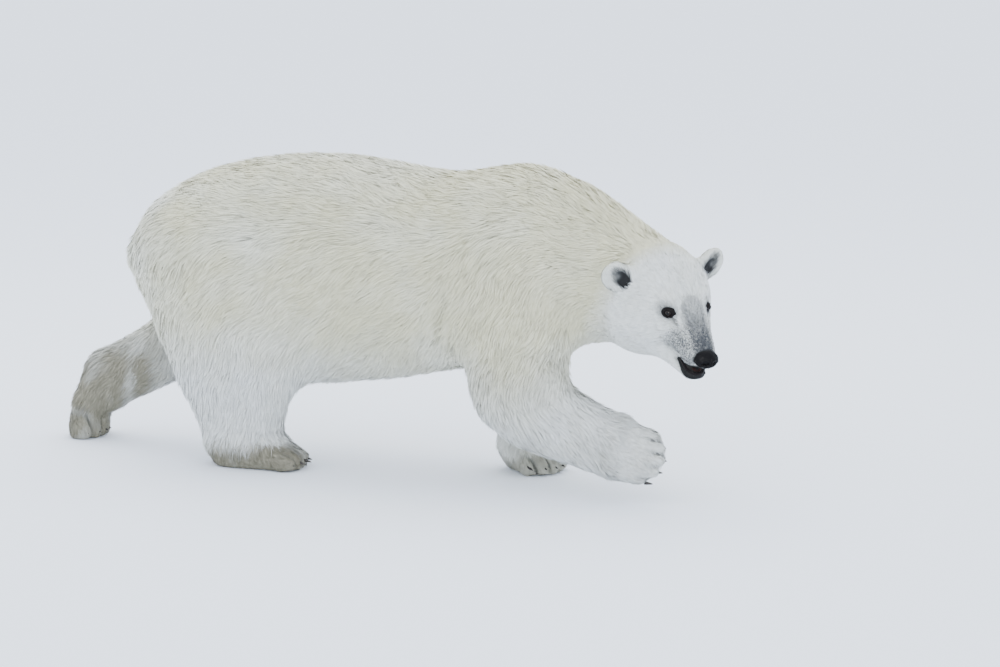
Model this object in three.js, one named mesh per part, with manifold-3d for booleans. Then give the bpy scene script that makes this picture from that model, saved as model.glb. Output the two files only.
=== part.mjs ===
// A life-size polar bear, walking: the right forepaw swings forward, the left hind foot pushes off its
// toes, and the head is lowered and turned to the right.
// Millimetres, +X forward, +Y to the bear's left, +Z up, floor at z = 0.
// Every outline is that of the coat's tips.
import * as THREE from "three";
import { mergeVertices } from "three/addons/utils/BufferGeometryUtils.js";
import Module from "manifold-3d";

const wasm = await Module();
wasm.setup();

// ---- Driving dimensions -------------------------------------------------------------------------

const gap = 0.3; // left between neighbouring pieces
const cell = {
  trunk: [118, 82, 82],
  neck: [74, 68, 68],
  leg: [56, 56, 72],
  foot: [37, 37, 37],
  head: [27.6, 27.6, 27.6],
  jaw: [22, 22, 22],
  ear: [19, 19, 19],
  nose: [18, 18, 18],
  tail: [40, 36, 40],
};

// Where the head is carried: the tip of the nose, and how the face points.
const carriage = { noseTip: [1707, -300, 526], turn: 37, dip: 29, tilt: 2.5 };

// Sections are [x, y, z, half width, half depth]. The width runs across the bear.
const spine = {
  rump: [-285, 0, 695, 205, 245],
  croup: [-215, 0, 682, 245, 292],
  hips: [-120, 0, 668, 282, 350],
  loin: [67, 0, 672, 298, 388],
  belly: [253, 0, 680, 305, 397],
  ribs: [436, 0, 684, 300, 383],
  breast: [617, 0, 690, 282, 352],
  withers: [762, 0, 705, 262, 330],
  shoulder: [880, 0, 730, 252, 333],
  hump: [993, 0, 745, 238, 328],
  chest: [1070, 0, 764, 200, 275],
};
const neckLine = {
  base: [1000, 0, 762, 215, 300],
  lower: [1120, -8, 768, 190, 258],
  middle: [1225, -28, 740, 172, 234],
  upper: [1325, -62, 706, 154, 216],
  nape: [1410, -104, 686, 146, 198],
};
const foreRight = {
  blade: [960, -120, 820, 110, 160],
  point: [1000, -168, 690, 112, 175],
  arm: [1012, -182, 560, 108, 182],
  lowerArm: [998, -182, 440, 104, 182],
  elbow: [950, -178, 350, 92, 155],
};
const forearmRight = {
  elbow: [930, -178, 340, 84, 125],
  thick: [1045, -182, 280, 88, 145],
  middle: [1165, -178, 238, 84, 142],
  thin: [1270, -170, 202, 76, 128],
  wrist: [1350, -162, 176, 68, 116],
};
const foreLeft = {
  blade: [950, 120, 820, 110, 160],
  point: [980, 165, 700, 112, 150],
  arm: [940, 180, 560, 106, 128],
  lowerArm: [915, 180, 460, 98, 120],
  elbow: [895, 178, 380, 90, 118],
  forearm: [888, 172, 290, 86, 110],
  thin: [884, 168, 190, 80, 98],
  wrist: [882, 166, 110, 80, 96],
};
const hindRight = {
  hip: [-120, -130, 800, 120, 230],
  thigh: [-80, -165, 650, 125, 275],
  stifle: [-45, -172, 500, 120, 285],
  knee: [-40, -160, 400, 112, 265],
  shank: [-38, -146, 310, 100, 238],
  calf: [-36, -134, 225, 92, 200],
  thin: [-34, -124, 150, 88, 168],
  ankle: [-32, -118, 80, 88, 140],
};
const hindLeft = {
  hip: [-120, 130, 800, 120, 230],
  thigh: [-150, 165, 660, 125, 258],
  stifle: [-210, 172, 540, 118, 220],
  knee: [-290, 160, 440, 108, 165],
  shank: [-395, 145, 352, 98, 130],
  calf: [-520, 128, 278, 92, 120],
  ankle: [-640, 114, 210, 86, 110],
};
const tailLine = {
  root: [-450, 0, 720, 52, 50],
  middle: [-488, 0, 665, 42, 40],
  tip: [-492, 0, 605, 28, 28],
};

// The head, measured from the tip of the nose: x towards the face, y to its left, z towards the crown.
const skull = {
  muzzleTip: [-46, 0, -12, 54, 42],
  muzzle: [-90, 0, -6, 66, 55],
  muzzleRoot: [-135, 0, 6, 78, 64],
  brow: [-185, 0, 28, 96, 80],
  forehead: [-245, 0, 40, 134, 100],
  crown: [-330, 0, 40, 152, 114],
  occiput: [-410, 0, 18, 146, 122],
};
const cheek = {
  front: [-182, 62, -14, 44, 46],
  middle: [-245, 88, -34, 60, 80],
  back: [-325, 92, -48, 72, 104],
};
const jaw = {
  chin: [-34, 0, -98, 46, 25],
  middle: [-115, 0, -104, 50, 36],
  angle: [-200, 0, -100, 78, 62],
  throat: [-300, 0, -100, 100, 106],
};
const mouth = { front: [-10, -58], corner: [-98, -70], opening: 24, hinge: -150 };
const eye = { at: [-168, 73, 63], radius: 15 };
const nosePad = { at: [-8, 0, -18], half: [30, 42, 31] };
const ear = {
  at: [-345, 180, 90],
  half: [27, 57, 62],
  cup: [20, 35, 40],
  cupAt: [27, -3, 2],
  lean: 42,
  tip: -12,
  turnOut: 10,
};

// Feet: the sole lies on z = 0 of each foot's own frame and the toes point along x.
const fore = { length: 256, width: 106, height: 62, toe: 31, toeReach: 26, heel: -118, lift: 0, depth: 45 };
const hind = { length: 366, width: 104, height: 60, toe: 29, toeReach: 24, heel: -190, lift: 0, depth: 45 };
const claw = { radius: 6.2, length: 36, root: 24, drop: 12 };
const feet = {
  front_right: { shape: fore, at: [1374, -160, 153], aim: [10, 6, 80] },
  front_left: { shape: fore, at: [908, 165, 0], aim: [-26, 0, 0] },
  hind_right: { shape: hind, at: [42, -130, 0], aim: [8, 0, 0] },
  hind_left: { shape: { ...hind, lift: 106, depth: 64 }, at: [-840, 110, 0], aim: [0, 0, 0] },
};

// ---- Shapes as distance fields: a function of a point, negative inside --------------------------

// Two shapes joined by a fillet of this size.
const blend = (a, b, size) => {
  const h = Math.max(size - Math.abs(a - b), 0) / size;
  return Math.min(a, b) - (h * h * size) / 4;
};

// A smooth limb through oval sections, with rounded ends. `joint` is how round each bend between them is.
function limb(sections, joint = 1) {
  const steps = 4;
  const rows = Object.values(sections);
  const line = new THREE.CatmullRomCurve3(rows.map((r) => new THREE.Vector3(r[0], r[1], r[2])));
  const girth = new THREE.CatmullRomCurve3(rows.map((r) => new THREE.Vector3(r[3], r[4], 0)));
  const count = (rows.length - 1) * steps;
  const beads = [];
  for (let i = 0; i <= count; i++) {
    beads.push({ at: line.getPoint(i / count), size: girth.getPoint(i / count) });
  }
  const bones = [];
  for (let i = 0; i < count; i++) {
    const a = beads[i];
    const b = beads[i + 1];
    const along = b.at.clone().sub(a.at);
    const length = along.length();
    const axis = along.clone().divideScalar(length);
    const side = new THREE.Vector3(0, 1, 0).addScaledVector(axis, -axis.y).normalize();
    const rise = new THREE.Vector3().crossVectors(side, axis);
    const before = i > 0 ? joint : 1;
    const after = i < count - 1 ? joint : 1;
    bones.push({ a, b, axis, length, side, rise, before, after });
  }
  return (x, y, z) => {
    let nearest = Infinity;
    for (const { a, b, axis, length, side, rise, before, after } of bones) {
      const px = x - a.at.x;
      const py = y - a.at.y;
      const pz = z - a.at.z;
      const s = Math.min(Math.max(px * axis.x + py * axis.y + pz * axis.z, 0), length);
      const t = s / length;
      const dx = px - axis.x * s;
      const dy = py - axis.y * s;
      const dz = pz - axis.z * s;
      const wide = a.size.x + (b.size.x - a.size.x) * t;
      const deep = a.size.y + (b.size.y - a.size.y) * t;
      const cap = Math.min(wide, deep) * (s > 0 ? after : before);
      const u = (dx * side.x + dy * side.y + dz * side.z) / wide;
      const v = (dx * rise.x + dy * rise.y + dz * rise.z) / deep;
      const w = (dx * axis.x + dy * axis.y + dz * axis.z) / cap;
      const reach = Math.sqrt(u * u + v * v + w * w);
      const away = Math.sqrt(dx * dx + dy * dy + dz * dz);
      nearest = Math.min(nearest, reach > 1e-6 ? away * (1 - 1 / reach) : -Math.min(wide, deep));
    }
    return nearest;
  };
}

// An ellipsoid with these half axes.
const ball = ([cx, cy, cz], [hx, hy, hz]) => (x, y, z) => {
  const dx = x - cx;
  const dy = y - cy;
  const dz = z - cz;
  const reach = Math.hypot(dx / hx, dy / hy, dz / hz);
  return reach > 1e-6 ? Math.hypot(dx, dy, dz) * (1 - 1 / reach) : -Math.min(hx, hy, hz);
};

// A shape moved by a matrix.
function placed(field, matrix) {
  const e = matrix.clone().invert().elements;
  return (x, y, z) =>
    field(
      e[0] * x + e[4] * y + e[8] * z + e[12],
      e[1] * x + e[5] * y + e[9] * z + e[13],
      e[2] * x + e[6] * y + e[10] * z + e[14],
    );
}

// A shape made larger all over by the gap.
const grown = (field) => (x, y, z) => field(x, y, z) - gap;

// A shape on the other side of y = 0, and one that is on both sides of it.
const mirrored = (field) => (x, y, z) => field(x, -y, z);
const bothSides = (field) => (x, y, z) => field(x, Math.abs(y), z);

// A frame at a point, turned by degrees about z, then y, then x.
function pose([x, y, z], [turn, dip, roll]) {
  const rad = THREE.MathUtils.degToRad;
  const spin = new THREE.Euler(rad(roll), rad(dip), rad(turn), "ZYX");
  return new THREE.Matrix4().makeRotationFromEuler(spin).setPosition(x, y, z);
}

// ---- The animal ---------------------------------------------------------------------------------

const headPose = pose(carriage.noseTip, [-carriage.turn, carriage.dip, carriage.tilt]);

function headShape() {
  const cranium = limb(skull, 0.3);
  const cheeks = bothSides(limb(cheek, 0.3));
  const lower = limb(jaw, 0.3);
  const brows = bothSides(ball([-196, 58, 84], [36, 26, 20]));
  const lips = bothSides(ball([-70, 30, -26], [52, 24, 26]));
  const sockets = bothSides(ball([-150, 92, 62], [24, 20, 15]));
  return (x, y, z) => {
    let d = blend(cranium(x, y, z), cheeks(x, y, z), 50);
    d = blend(d, lower(x, y, z), 30);
    d = blend(d, brows(x, y, z), 30);
    d = blend(d, lips(x, y, z), 20);
    return -blend(-d, sockets(x, y, z), 16);
  };
}

function earShape() {
  const shell = ball([0, 0, 0], ear.half);
  const hollow = ball(ear.cupAt, ear.cup);
  const frame = pose(ear.at, [ear.turnOut, ear.tip, -ear.lean]);
  return placed((x, y, z) => -blend(-shell(x, y, z), hollow(x, y, z), 10), frame);
}

// Where the toes begin, and the middle of each toe: five in an arc, level with the ground.
const toesStart = ({ length, toe, toeReach, heel }) => length + heel - toeReach - toe * 0.4;
function toeCentres(shape) {
  const front = toesStart(shape) + shape.toeReach * 0.4;
  return [-2, -1, 0, 1, 2].map((i) => [front - i * i * 9, i * shape.width * 0.38, shape.toe * 0.92]);
}

// Five toes in front of a broad pad. `lift` raises the heel by degrees about the ball of the foot.
function footShape(shape) {
  const { width, height, toe, heel, lift, depth } = shape;
  const front = toesStart(shape);
  const sole = front - 112 - heel;
  const rise = THREE.MathUtils.degToRad(lift);
  const ballOf = [front - 40, 0, height * 0.62];
  const heelOf = [ballOf[0] - sole * Math.cos(rise), 0, height * 0.75 + sole * Math.sin(rise)];
  const pad = limb({
    heel: [...heelOf, width * 0.74, depth + 6],
    ball: [...ballOf, width * 0.97, depth],
  });
  const toes = toeCentres(shape).map((centre) => ball(centre, [toe * 1.55, toe * 0.82, toe]));
  return (x, y, z) => {
    let d = pad(x, y, z);
    for (const one of toes) {
      d = blend(d, one(x, y, z), 15);
    }
    return d;
  };
}

// Where each claw leaves its toe.
const clawRoots = (shape) => toeCentres(shape).map(([x, y, z]) => [x + shape.toe * 1.15, y, z + 1]);

const footPose = (foot) => pose(foot.at, foot.aim);
const paw = Object.fromEntries(
  Object.entries(feet).map(([name, foot]) => [name, placed(footShape(foot.shape), footPose(foot))]),
);

const torso = limb(spine);
const neckTube = limb(neckLine);
const headField = placed(headShape(), headPose);
const tailField = limb(tailLine);
const legs = {
  front_right: [limb(foreRight), limb(forearmRight)],
  front_left: [limb(foreLeft)],
  hind_right: [limb(hindRight)],
  hind_left: [limb(hindLeft)],
};

function bear(x, y, z) {
  let d = blend(torso(x, y, z), neckTube(x, y, z), 90);
  d = blend(d, headField(x, y, z), 60);
  for (const [name, parts] of Object.entries(legs)) {
    let leg = parts[0](x, y, z);
    for (const part of parts.slice(1)) {
      leg = blend(leg, part(x, y, z), 60);
    }
    leg = blend(leg, paw[name](x, y, z), 40);
    d = blend(d, leg, 70);
  }
  return d;
}

// ---- From fields to solids ----------------------------------------------------------------------

const solidOf = (geometry) => {
  const bare = new THREE.BufferGeometry();
  bare.setAttribute("position", geometry.getAttribute("position"));
  bare.setIndex(geometry.getIndex());
  const merged = mergeVertices(bare, 1e-3);
  return new wasm.Manifold(
    new wasm.Mesh({
      numProp: 3,
      vertProperties: merged.attributes.position.array,
      triVerts: new Uint32Array(merged.index.array),
    }),
  );
};

// The surface of a field inside a box, as a net with one vertex in each cell that the surface passes through.
function netOf(field, box, size) {
  const low = box.min;
  const [sx, sy, sz] = size;
  const span = box.getSize(new THREE.Vector3()).toArray();
  const [nx, ny, nz] = span.map((n, axis) => Math.ceil(n / size[axis]) + 1);
  const index = (i, j, k) => (k * ny + j) * nx + i;
  const value = new Float32Array(nx * ny * nz);
  for (let k = 0; k < nz; k++) {
    for (let j = 0; j < ny; j++) {
      for (let i = 0; i < nx; i++) {
        const edge = i === 0 || j === 0 || k === 0 || i === nx - 1 || j === ny - 1 || k === nz - 1;
        const d = field(low.x + i * sx, low.y + j * sy, low.z + k * sz);
        value[index(i, j, k)] = edge ? Math.max(d, sx / 2) : d;
      }
    }
  }
  const corners = [0, 1, 2, 3, 4, 5, 6, 7].map((c) => [c & 1, (c >> 1) & 1, c >> 2]);
  const edges = [];
  for (let a = 0; a < 8; a++) {
    for (const bit of [1, 2, 4]) {
      if (!(a & bit)) {
        edges.push([a, a | bit]);
      }
    }
  }
  const points = [];
  const vertexOf = new Map();
  for (let k = 0; k < nz - 1; k++) {
    for (let j = 0; j < ny - 1; j++) {
      for (let i = 0; i < nx - 1; i++) {
        const v = corners.map(([a, b, c]) => value[index(i + a, j + b, k + c)]);
        const sum = [0, 0, 0];
        let crossings = 0;
        for (const [a, b] of edges) {
          if (v[a] < 0 !== v[b] < 0) {
            const t = v[a] / (v[a] - v[b]);
            for (let axis = 0; axis < 3; axis++) {
              sum[axis] += corners[a][axis] + t * (corners[b][axis] - corners[a][axis]);
            }
            crossings++;
          }
        }
        if (crossings) {
          vertexOf.set(index(i, j, k), points.length / 3);
          points.push(
            low.x + (i + sum[0] / crossings) * sx,
            low.y + (j + sum[1] / crossings) * sy,
            low.z + (k + sum[2] / crossings) * sz,
          );
        }
      }
    }
  }
  settle(points, field, Math.min(...size));
  const faces = [];
  const steps = [[1, 0, 0], [0, 1, 0], [0, 0, 1]];
  for (let k = 0; k < nz - 1; k++) {
    for (let j = 0; j < ny - 1; j++) {
      for (let i = 0; i < nx - 1; i++) {
        const here = value[index(i, j, k)] < 0;
        steps.forEach((step, axis) => {
          if (here === value[index(i + step[0], j + step[1], k + step[2])] < 0) {
            return;
          }
          const u = steps[(axis + 1) % 3];
          const w = steps[(axis + 2) % 3];
          const ring = [[0, 0], [1, 0], [1, 1], [0, 1]].map(([a, b]) =>
            vertexOf.get(index(i - a * u[0] - b * w[0], j - a * u[1] - b * w[1], k - a * u[2] - b * w[2])),
          );
          const [p, q, r, s] = here ? ring : ring.reverse();
          if (squared(points, p, r) < squared(points, q, s)) {
            faces.push(p, q, r, p, r, s);
          } else {
            faces.push(q, r, s, q, s, p);
          }
        });
      }
    }
  }
  const geometry = new THREE.BufferGeometry();
  geometry.setAttribute("position", new THREE.Float32BufferAttribute(points, 3));
  geometry.setIndex(faces);
  return solidOf(geometry);
}

const squared = (points, a, b) =>
  [0, 1, 2].reduce((sum, axis) => sum + (points[3 * a + axis] - points[3 * b + axis]) ** 2, 0);

// Moves each point along the field's slope until it lies on the surface. Points on the box's own sides stay.
function settle(points, field, size) {
  const probe = size * 0.02;
  for (let n = 0; n < points.length; n += 3) {
    for (let round = 0; round < 4; round++) {
      const [x, y, z] = points.slice(n, n + 3);
      const d = field(x, y, z);
      if (Math.abs(d) > size * 0.7) {
        break;
      }
      const slope = [
        field(x + probe, y, z) - d,
        field(x, y + probe, z) - d,
        field(x, y, z + probe) - d,
      ];
      const steep = slope.reduce((sum, g) => sum + g * g, 0) / (probe * probe);
      slope.forEach((g, axis) => {
        points[n + axis] -= (0.8 * d * g) / probe / Math.max(steep, 0.2);
      });
    }
  }
}

// A block that fills the side of a plane that its normal points to.
function sideOf([x, y, z], [nx, ny, nz], inset = gap / 2) {
  const reach = 6000;
  const normal = new THREE.Vector3(nx, ny, nz).normalize();
  const turn = new THREE.Quaternion().setFromUnitVectors(new THREE.Vector3(0, 0, 1), normal);
  const centre = new THREE.Vector3(x, y, z).addScaledVector(normal, reach / 2 + inset);
  const block = new THREE.BoxGeometry(reach, reach, reach).applyQuaternion(turn);
  return solidOf(block.translate(centre.x, centre.y, centre.z));
}

const boxAround = (low, high) => new THREE.Box3(new THREE.Vector3(...low), new THREE.Vector3(...high));

// ---- Cuts ---------------------------------------------------------------------------------------

const above = sideOf([0, 0, 0], [0, 0, 1], 0); // everything that isn't under the floor
const cuts = {
  neckBase: { at: [1120, 0, 760], facing: [1, -0.12, -0.05] },
  nape: { at: [1425, -95, 700], facing: [0.82, -0.46, -0.34] },
};

// Each leg is what lies outside a slanting plane by the body, between two upright ones.
const joints = {
  front_right: {
    top: { at: [1000, -30, 410], facing: [0, -0.64, -0.77] },
    back: 700,
    front: 1700,
    middle: { at: [960, -180, 318], facing: [0.55, 0, -0.83] },
    foot: { at: [1338, -160, 172], facing: [0.96, 0, -0.2] },
  },
  front_left: {
    top: { at: [1000, 30, 410], facing: [0, 0.64, -0.77] },
    back: 700,
    front: 1190,
    middle: { at: [905, 160, 350], facing: [0, 0, -1] },
    foot: { at: [895, 116, 98], facing: [0.1, 0, -1] },
  },
  hind_right: {
    top: { at: [0, -40, 340], facing: [0, -0.64, -0.77] },
    back: -420,
    front: 300,
    middle: { at: [-40, -160, 300], facing: [0, 0, -1] },
    foot: { at: [-30, -118, 88], facing: [0.1, 0, -1] },
  },
  hind_left: {
    top: { at: [-100, 40, 340], facing: [-0.25, 0.64, -0.77] },
    back: -1000,
    front: 120,
    middle: { at: [-330, 150, 400], facing: [-0.75, 0, -0.6] },
    foot: { at: [-700, 112, 140], facing: [-0.25, 0, -0.97] },
  },
};

function legRegion({ top, back, front }, inset) {
  return sideOf(top.at, top.facing, inset)
    .intersect(sideOf([0, 0, 0], [0, Math.sign(top.facing[1]), 0], inset))
    .intersect(sideOf([back, 0, 0], [1, 0, 0], inset))
    .intersect(sideOf([front, 0, 0], [-1, 0, 0], inset));
}

// ---- Pieces -------------------------------------------------------------------------------------

const coat = { color: 0xe9e4d4, roughness: 0.9, metalness: 0 };
const finishes = {
  fur: new THREE.MeshStandardMaterial(coat),
  nose: new THREE.MeshStandardMaterial({ color: 0x17161a, roughness: 0.45, metalness: 0 }),
  eye: new THREE.MeshStandardMaterial({ color: 0x120b08, roughness: 0.1, metalness: 0 }),
  claw: new THREE.MeshStandardMaterial({ color: 0x2b2622, roughness: 0.4, metalness: 0 }),
};
const model = new THREE.Group();

function add(name, solid, finish) {
  const mesh = solid.getMesh();
  const geometry = new THREE.BufferGeometry();
  geometry.setAttribute("position", new THREE.BufferAttribute(mesh.vertProperties, mesh.numProp));
  geometry.setIndex(new THREE.BufferAttribute(mesh.triVerts, 1));
  const piece = new THREE.Mesh(geometry, finishes[finish]);
  piece.name = name;
  model.add(piece);
}

function largest(solid) {
  return solid.decompose().sort((a, b) => b.volume() - a.volume())[0];
}

const trunkBox = boxAround([-640, -420, 120], [1300, 420, 1180]);

// The trunk is the body without its neck and legs.
function buildTrunk() {
  let trunk = netOf(bear, trunkBox, cell.trunk);
  trunk = trunk.intersect(sideOf(cuts.neckBase.at, cuts.neckBase.facing.map((n) => -n)));
  for (const joint of Object.values(joints)) {
    trunk = trunk.subtract(legRegion(joint, -gap / 2));
  }
  add("trunk", largest(trunk), "fur");
}

function buildTail() {
  const whole = netOf(tailField, boxAround([-640, -140, 480], [-330, 140, 860]), cell.tail);
  add("tail", largest(whole.subtract(netOf(grown(bear), trunkBox, cell.trunk))), "fur");
}

function buildNeck() {
  const box = boxAround([980, -420, 300], [1700, 330, 1180]);
  const whole = netOf(bear, box, cell.neck)
    .intersect(sideOf(cuts.neckBase.at, cuts.neckBase.facing))
    .intersect(sideOf(cuts.nape.at, cuts.nape.facing.map((n) => -n)))
    .subtract(legRegion(joints.front_right, -gap / 2))
    .subtract(legRegion(joints.front_left, -gap / 2));
  add("neck", largest(whole), "fur");
}

function buildLeg(name) {
  const joint = joints[name];
  const right = name.endsWith("right");
  const [low, high] = right ? [-520, 160] : [-160, 520];
  const near = boxAround([joint.back - 120, low, -60], [joint.front + 60, high, 760]);
  const upper = sideOf(joint.middle.at, joint.middle.facing.map((n) => -n));
  const lower = sideOf(joint.middle.at, joint.middle.facing);
  const leg = netOf(bear, near, cell.leg).intersect(legRegion(joint, gap / 2)).intersect(above);
  const beforeFoot = sideOf(joint.foot.at, joint.foot.facing.map((n) => -n));
  add(`leg_${name}_upper`, largest(leg.intersect(upper)), "fur");
  add(`leg_${name}_lower`, largest(leg.intersect(lower).intersect(beforeFoot)), "fur");
  buildFoot(name, joint);
}

function buildFoot(name, joint) {
  const foot = feet[name];
  const frame = footPose(foot);
  const reach = foot.shape.length;
  const [x, y, z] = foot.at;
  const near = boxAround([x - reach, y - reach, z - reach], [x + reach, y + reach, z + reach]);
  let sole = netOf(bear, near, cell.foot)
    .intersect(sideOf(joint.foot.at, joint.foot.facing))
    .intersect(above);
  clawRoots(foot.shape).forEach((root, i) => {
    sole = sole.subtract(clawSolid(root, frame, gap));
    add(`claw_${name}_${i + 1}`, clawSolid(root, frame, 0).intersect(above), "claw");
  });
  add(`paw_${name}`, largest(sole), "fur");
}

// A claw is a turned cone, bent down towards its point. `grow` makes it larger all over.
function clawSolid([x, y, z], frame, grow) {
  const start = -claw.root - grow;
  const end = claw.length - claw.root + grow;
  const profile = [0, 0.6].map((t) => {
    const width = (claw.radius + grow) * Math.sqrt(1 - t * t);
    return new THREE.Vector2(width, start + t * (end - start));
  });
  const outline = [new THREE.Vector2(0, start), ...profile, new THREE.Vector2(0, end)];
  const cone = new THREE.LatheGeometry(outline, 5).rotateZ(-Math.PI / 2);
  const at = cone.getAttribute("position");
  for (let n = 0; n < at.count; n++) {
    const t = Math.max(at.getX(n) - start, 0) / (end - start);
    at.setXYZ(n, at.getX(n) + x, at.getY(n) + y, at.getZ(n) + z - claw.drop * t * t);
  }
  return solidOf(cone.applyMatrix4(frame));
}

function buildHead() {
  const toBear = (at) => new THREE.Vector3(...at).applyMatrix4(headPose).toArray();
  const facing = (n) => new THREE.Vector3(...n).transformDirection(headPose).toArray();
  const [x, y, z] = toBear([-210, 0, 0]);
  const near = boxAround([x - 330, y - 330, z - 330], [x + 330, y + 330, z + 330]);
  let head = netOf(bear, near, cell.head).intersect(sideOf(cuts.nape.at, cuts.nape.facing));

  // The mouth is a narrow wedge, closed at its corner.
  const corner = toBear([mouth.corner[0], 0, mouth.corner[1]]);
  const hinge = toBear([mouth.hinge, 0, 0]);
  const span = mouth.front[0] - mouth.corner[0];
  const slope = (mouth.front[1] - mouth.corner[1]) / span;
  const sag = slope - mouth.opening / span;
  const lips = sideOf(corner, facing([slope, 0, -1]));
  const chinRegion = sideOf(hinge, facing([1, 0, 0]))
    .intersect(sideOf(corner, facing([sag, 0, -1])))
    .intersect(lips);
  add("lower_jaw", largest(netOf(bear, near, cell.jaw).intersect(chinRegion)), "fur");
  const beforeHinge = sideOf(hinge, facing([1, 0, 0]), -gap / 2);
  const belowMouth = sideOf(corner, facing([slope, 0, -1]), -gap / 2);
  head = head.subtract(beforeHinge.intersect(belowMouth));

  const nose = placed(ball(nosePad.at, nosePad.half), headPose);
  add("nose", netOf(nose, near, cell.nose), "nose");
  head = head.subtract(netOf(grown(nose), near, cell.nose));
  const body = netOf(grown(bear), near, cell.head);
  for (const [side, sign] of [["left", 1], ["right", -1]]) {
    const [ex, ey, ez] = toBear([eye.at[0], eye.at[1] * sign, eye.at[2]]);
    const eyeball = (radius) => solidOf(new THREE.IcosahedronGeometry(radius, 1).translate(ex, ey, ez));
    head = head.subtract(eyeball(eye.radius + gap));
    add(`eye_${side}`, eyeball(eye.radius), "eye");
    const flap = placed(sign > 0 ? earShape() : mirrored(earShape()), headPose);
    add(`ear_${side}`, largest(netOf(flap, near, cell.ear).subtract(body)), "fur");
  }
  add("head", largest(head), "fur");
}

buildTrunk();
buildTail();
buildNeck();
Object.keys(feet).forEach(buildLeg);
buildHead();

// The origin is the middle of the object's box, at floor level.
const bounds = new THREE.Box3().setFromObject(model);
const middle = bounds.getCenter(new THREE.Vector3());
model.position.set(-middle.x, -middle.y, -bounds.min.z);

export default model;
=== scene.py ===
import math

import bmesh
import bpy
import numpy as np
from mathutils import Euler, Matrix, Vector
from mathutils.bvhtree import BVHTree
from mathutils.kdtree import KDTree


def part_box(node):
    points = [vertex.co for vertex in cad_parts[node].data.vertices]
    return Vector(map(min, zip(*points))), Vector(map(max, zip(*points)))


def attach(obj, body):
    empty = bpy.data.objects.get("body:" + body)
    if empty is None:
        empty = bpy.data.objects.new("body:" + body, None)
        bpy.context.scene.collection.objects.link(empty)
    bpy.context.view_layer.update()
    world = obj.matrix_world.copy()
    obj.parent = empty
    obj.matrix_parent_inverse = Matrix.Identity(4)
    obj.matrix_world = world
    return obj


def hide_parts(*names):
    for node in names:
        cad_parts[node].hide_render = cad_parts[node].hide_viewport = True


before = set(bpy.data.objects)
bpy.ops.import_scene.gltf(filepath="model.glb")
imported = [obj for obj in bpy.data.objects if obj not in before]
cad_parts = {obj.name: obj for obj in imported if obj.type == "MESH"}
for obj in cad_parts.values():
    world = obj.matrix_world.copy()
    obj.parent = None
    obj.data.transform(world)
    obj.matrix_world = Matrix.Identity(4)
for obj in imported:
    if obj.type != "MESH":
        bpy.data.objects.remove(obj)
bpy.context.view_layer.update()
scene = bpy.context.scene
print("frame loaded:", len(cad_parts), "nodes")


# camera, light and floor

view = {"azimuth": 22, "elevation": 10.5, "distance": 14.0, "lens": 151.2, "aim": (0.4051, 0.0146, 0.493)}
studio = {
    "sky": (0.82, 0.88, 0.98),
    "skyStrength": 2.6,
    "floor": (0.90, 0.94, 1.0),
    "softboxes": [
        # name, place, what it faces, width, watts, colour
        ("overhead", (-0.8, 1.6, 5.0), (0.1, 0.0, 0.6), 5.0, 150, (1.0, 0.98, 0.94)),
        ("frontFill", (3.6, -5.2, 2.2), (0.6, 0.0, 0.5), 3.5, 45, (0.95, 0.97, 1.0)),
        ("catchlight", (3.2, -5.0, 3.0), (1.1, -0.2, 0.6), 0.7, 700, (1.0, 1.0, 1.0)),
        ("rearFill", (-4.5, -2.5, 2.6), (-0.4, 0.0, 0.6), 3.0, 20, (0.96, 0.98, 1.0)),
    ],
}


def buildStudio():
    azimuth = math.radians(view["azimuth"])
    elevation = math.radians(view["elevation"])
    aim = Vector(view["aim"])
    back = Vector((
        math.sin(azimuth) * math.cos(elevation),
        -math.cos(azimuth) * math.cos(elevation),
        math.sin(elevation),
    ))
    cameraData = bpy.data.cameras.new("camera")
    cameraData.lens = view["lens"]
    cameraData.sensor_width = 36
    cameraData.clip_end = 100
    camera = bpy.data.objects.new("camera", cameraData)
    camera.location = aim + back * view["distance"]
    camera.rotation_euler = (-back).to_track_quat("-Z", "Y").to_euler()
    scene.collection.objects.link(camera)
    scene.camera = camera

    world = bpy.data.worlds.new("sky")
    world.use_nodes = True
    background = world.node_tree.nodes["Background"]
    background.inputs["Color"].default_value = (*studio["sky"], 1)
    background.inputs["Strength"].default_value = studio["skyStrength"]
    scene.world = world

    for name, place, faces, width, watts, colour in studio["softboxes"]:
        lampData = bpy.data.lights.new(name, "AREA")
        lampData.shape = "DISK"
        lampData.size = width
        lampData.energy = watts
        lampData.color = colour
        lamp = bpy.data.objects.new(name, lampData)
        lamp.location = place
        lamp.rotation_euler = (Vector(faces) - Vector(place)).to_track_quat("-Z", "Y").to_euler()
        lamp.visible_diffuse = name != "catchlight"  # only glints in eyes and nose
        scene.collection.objects.link(lamp)

    floorMesh = bpy.data.meshes.new("floor")
    reach = 60
    corners = [(-reach, -reach, 0), (reach, -reach, 0), (reach, reach, 0), (-reach, reach, 0)]
    floorMesh.from_pydata(corners, [], [(0, 1, 2, 3)])
    floor = bpy.data.objects.new("floor", floorMesh)
    scene.collection.objects.link(floor)
    floorMesh.materials.append(floorMaterial())
    print("studio ready")


# the bear's own measures, in its frame

headPose = {"turn": -37, "dip": 29, "tilt": 2.5}  # degrees, about z, then y, then x
headMarks = {"eye": (-0.168, 0.073, 0.063)}


def centreOf(node):
    low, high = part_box(node)
    return (Vector(low) + Vector(high)) / 2


def findHead():
    # The head's own frame: x towards the face, y to its left, z towards the crown, from inside the nose pad
    turn = Euler([math.radians(headPose[key]) for key in ("tilt", "dip", "turn")], "XYZ").to_matrix()
    between = (centreOf("eye_left") + centreOf("eye_right")) / 2
    x, _, z = headMarks["eye"]
    tip = between - turn @ Vector((x, 0, z))
    return Matrix.LocRotScale(tip, turn, None)


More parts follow.
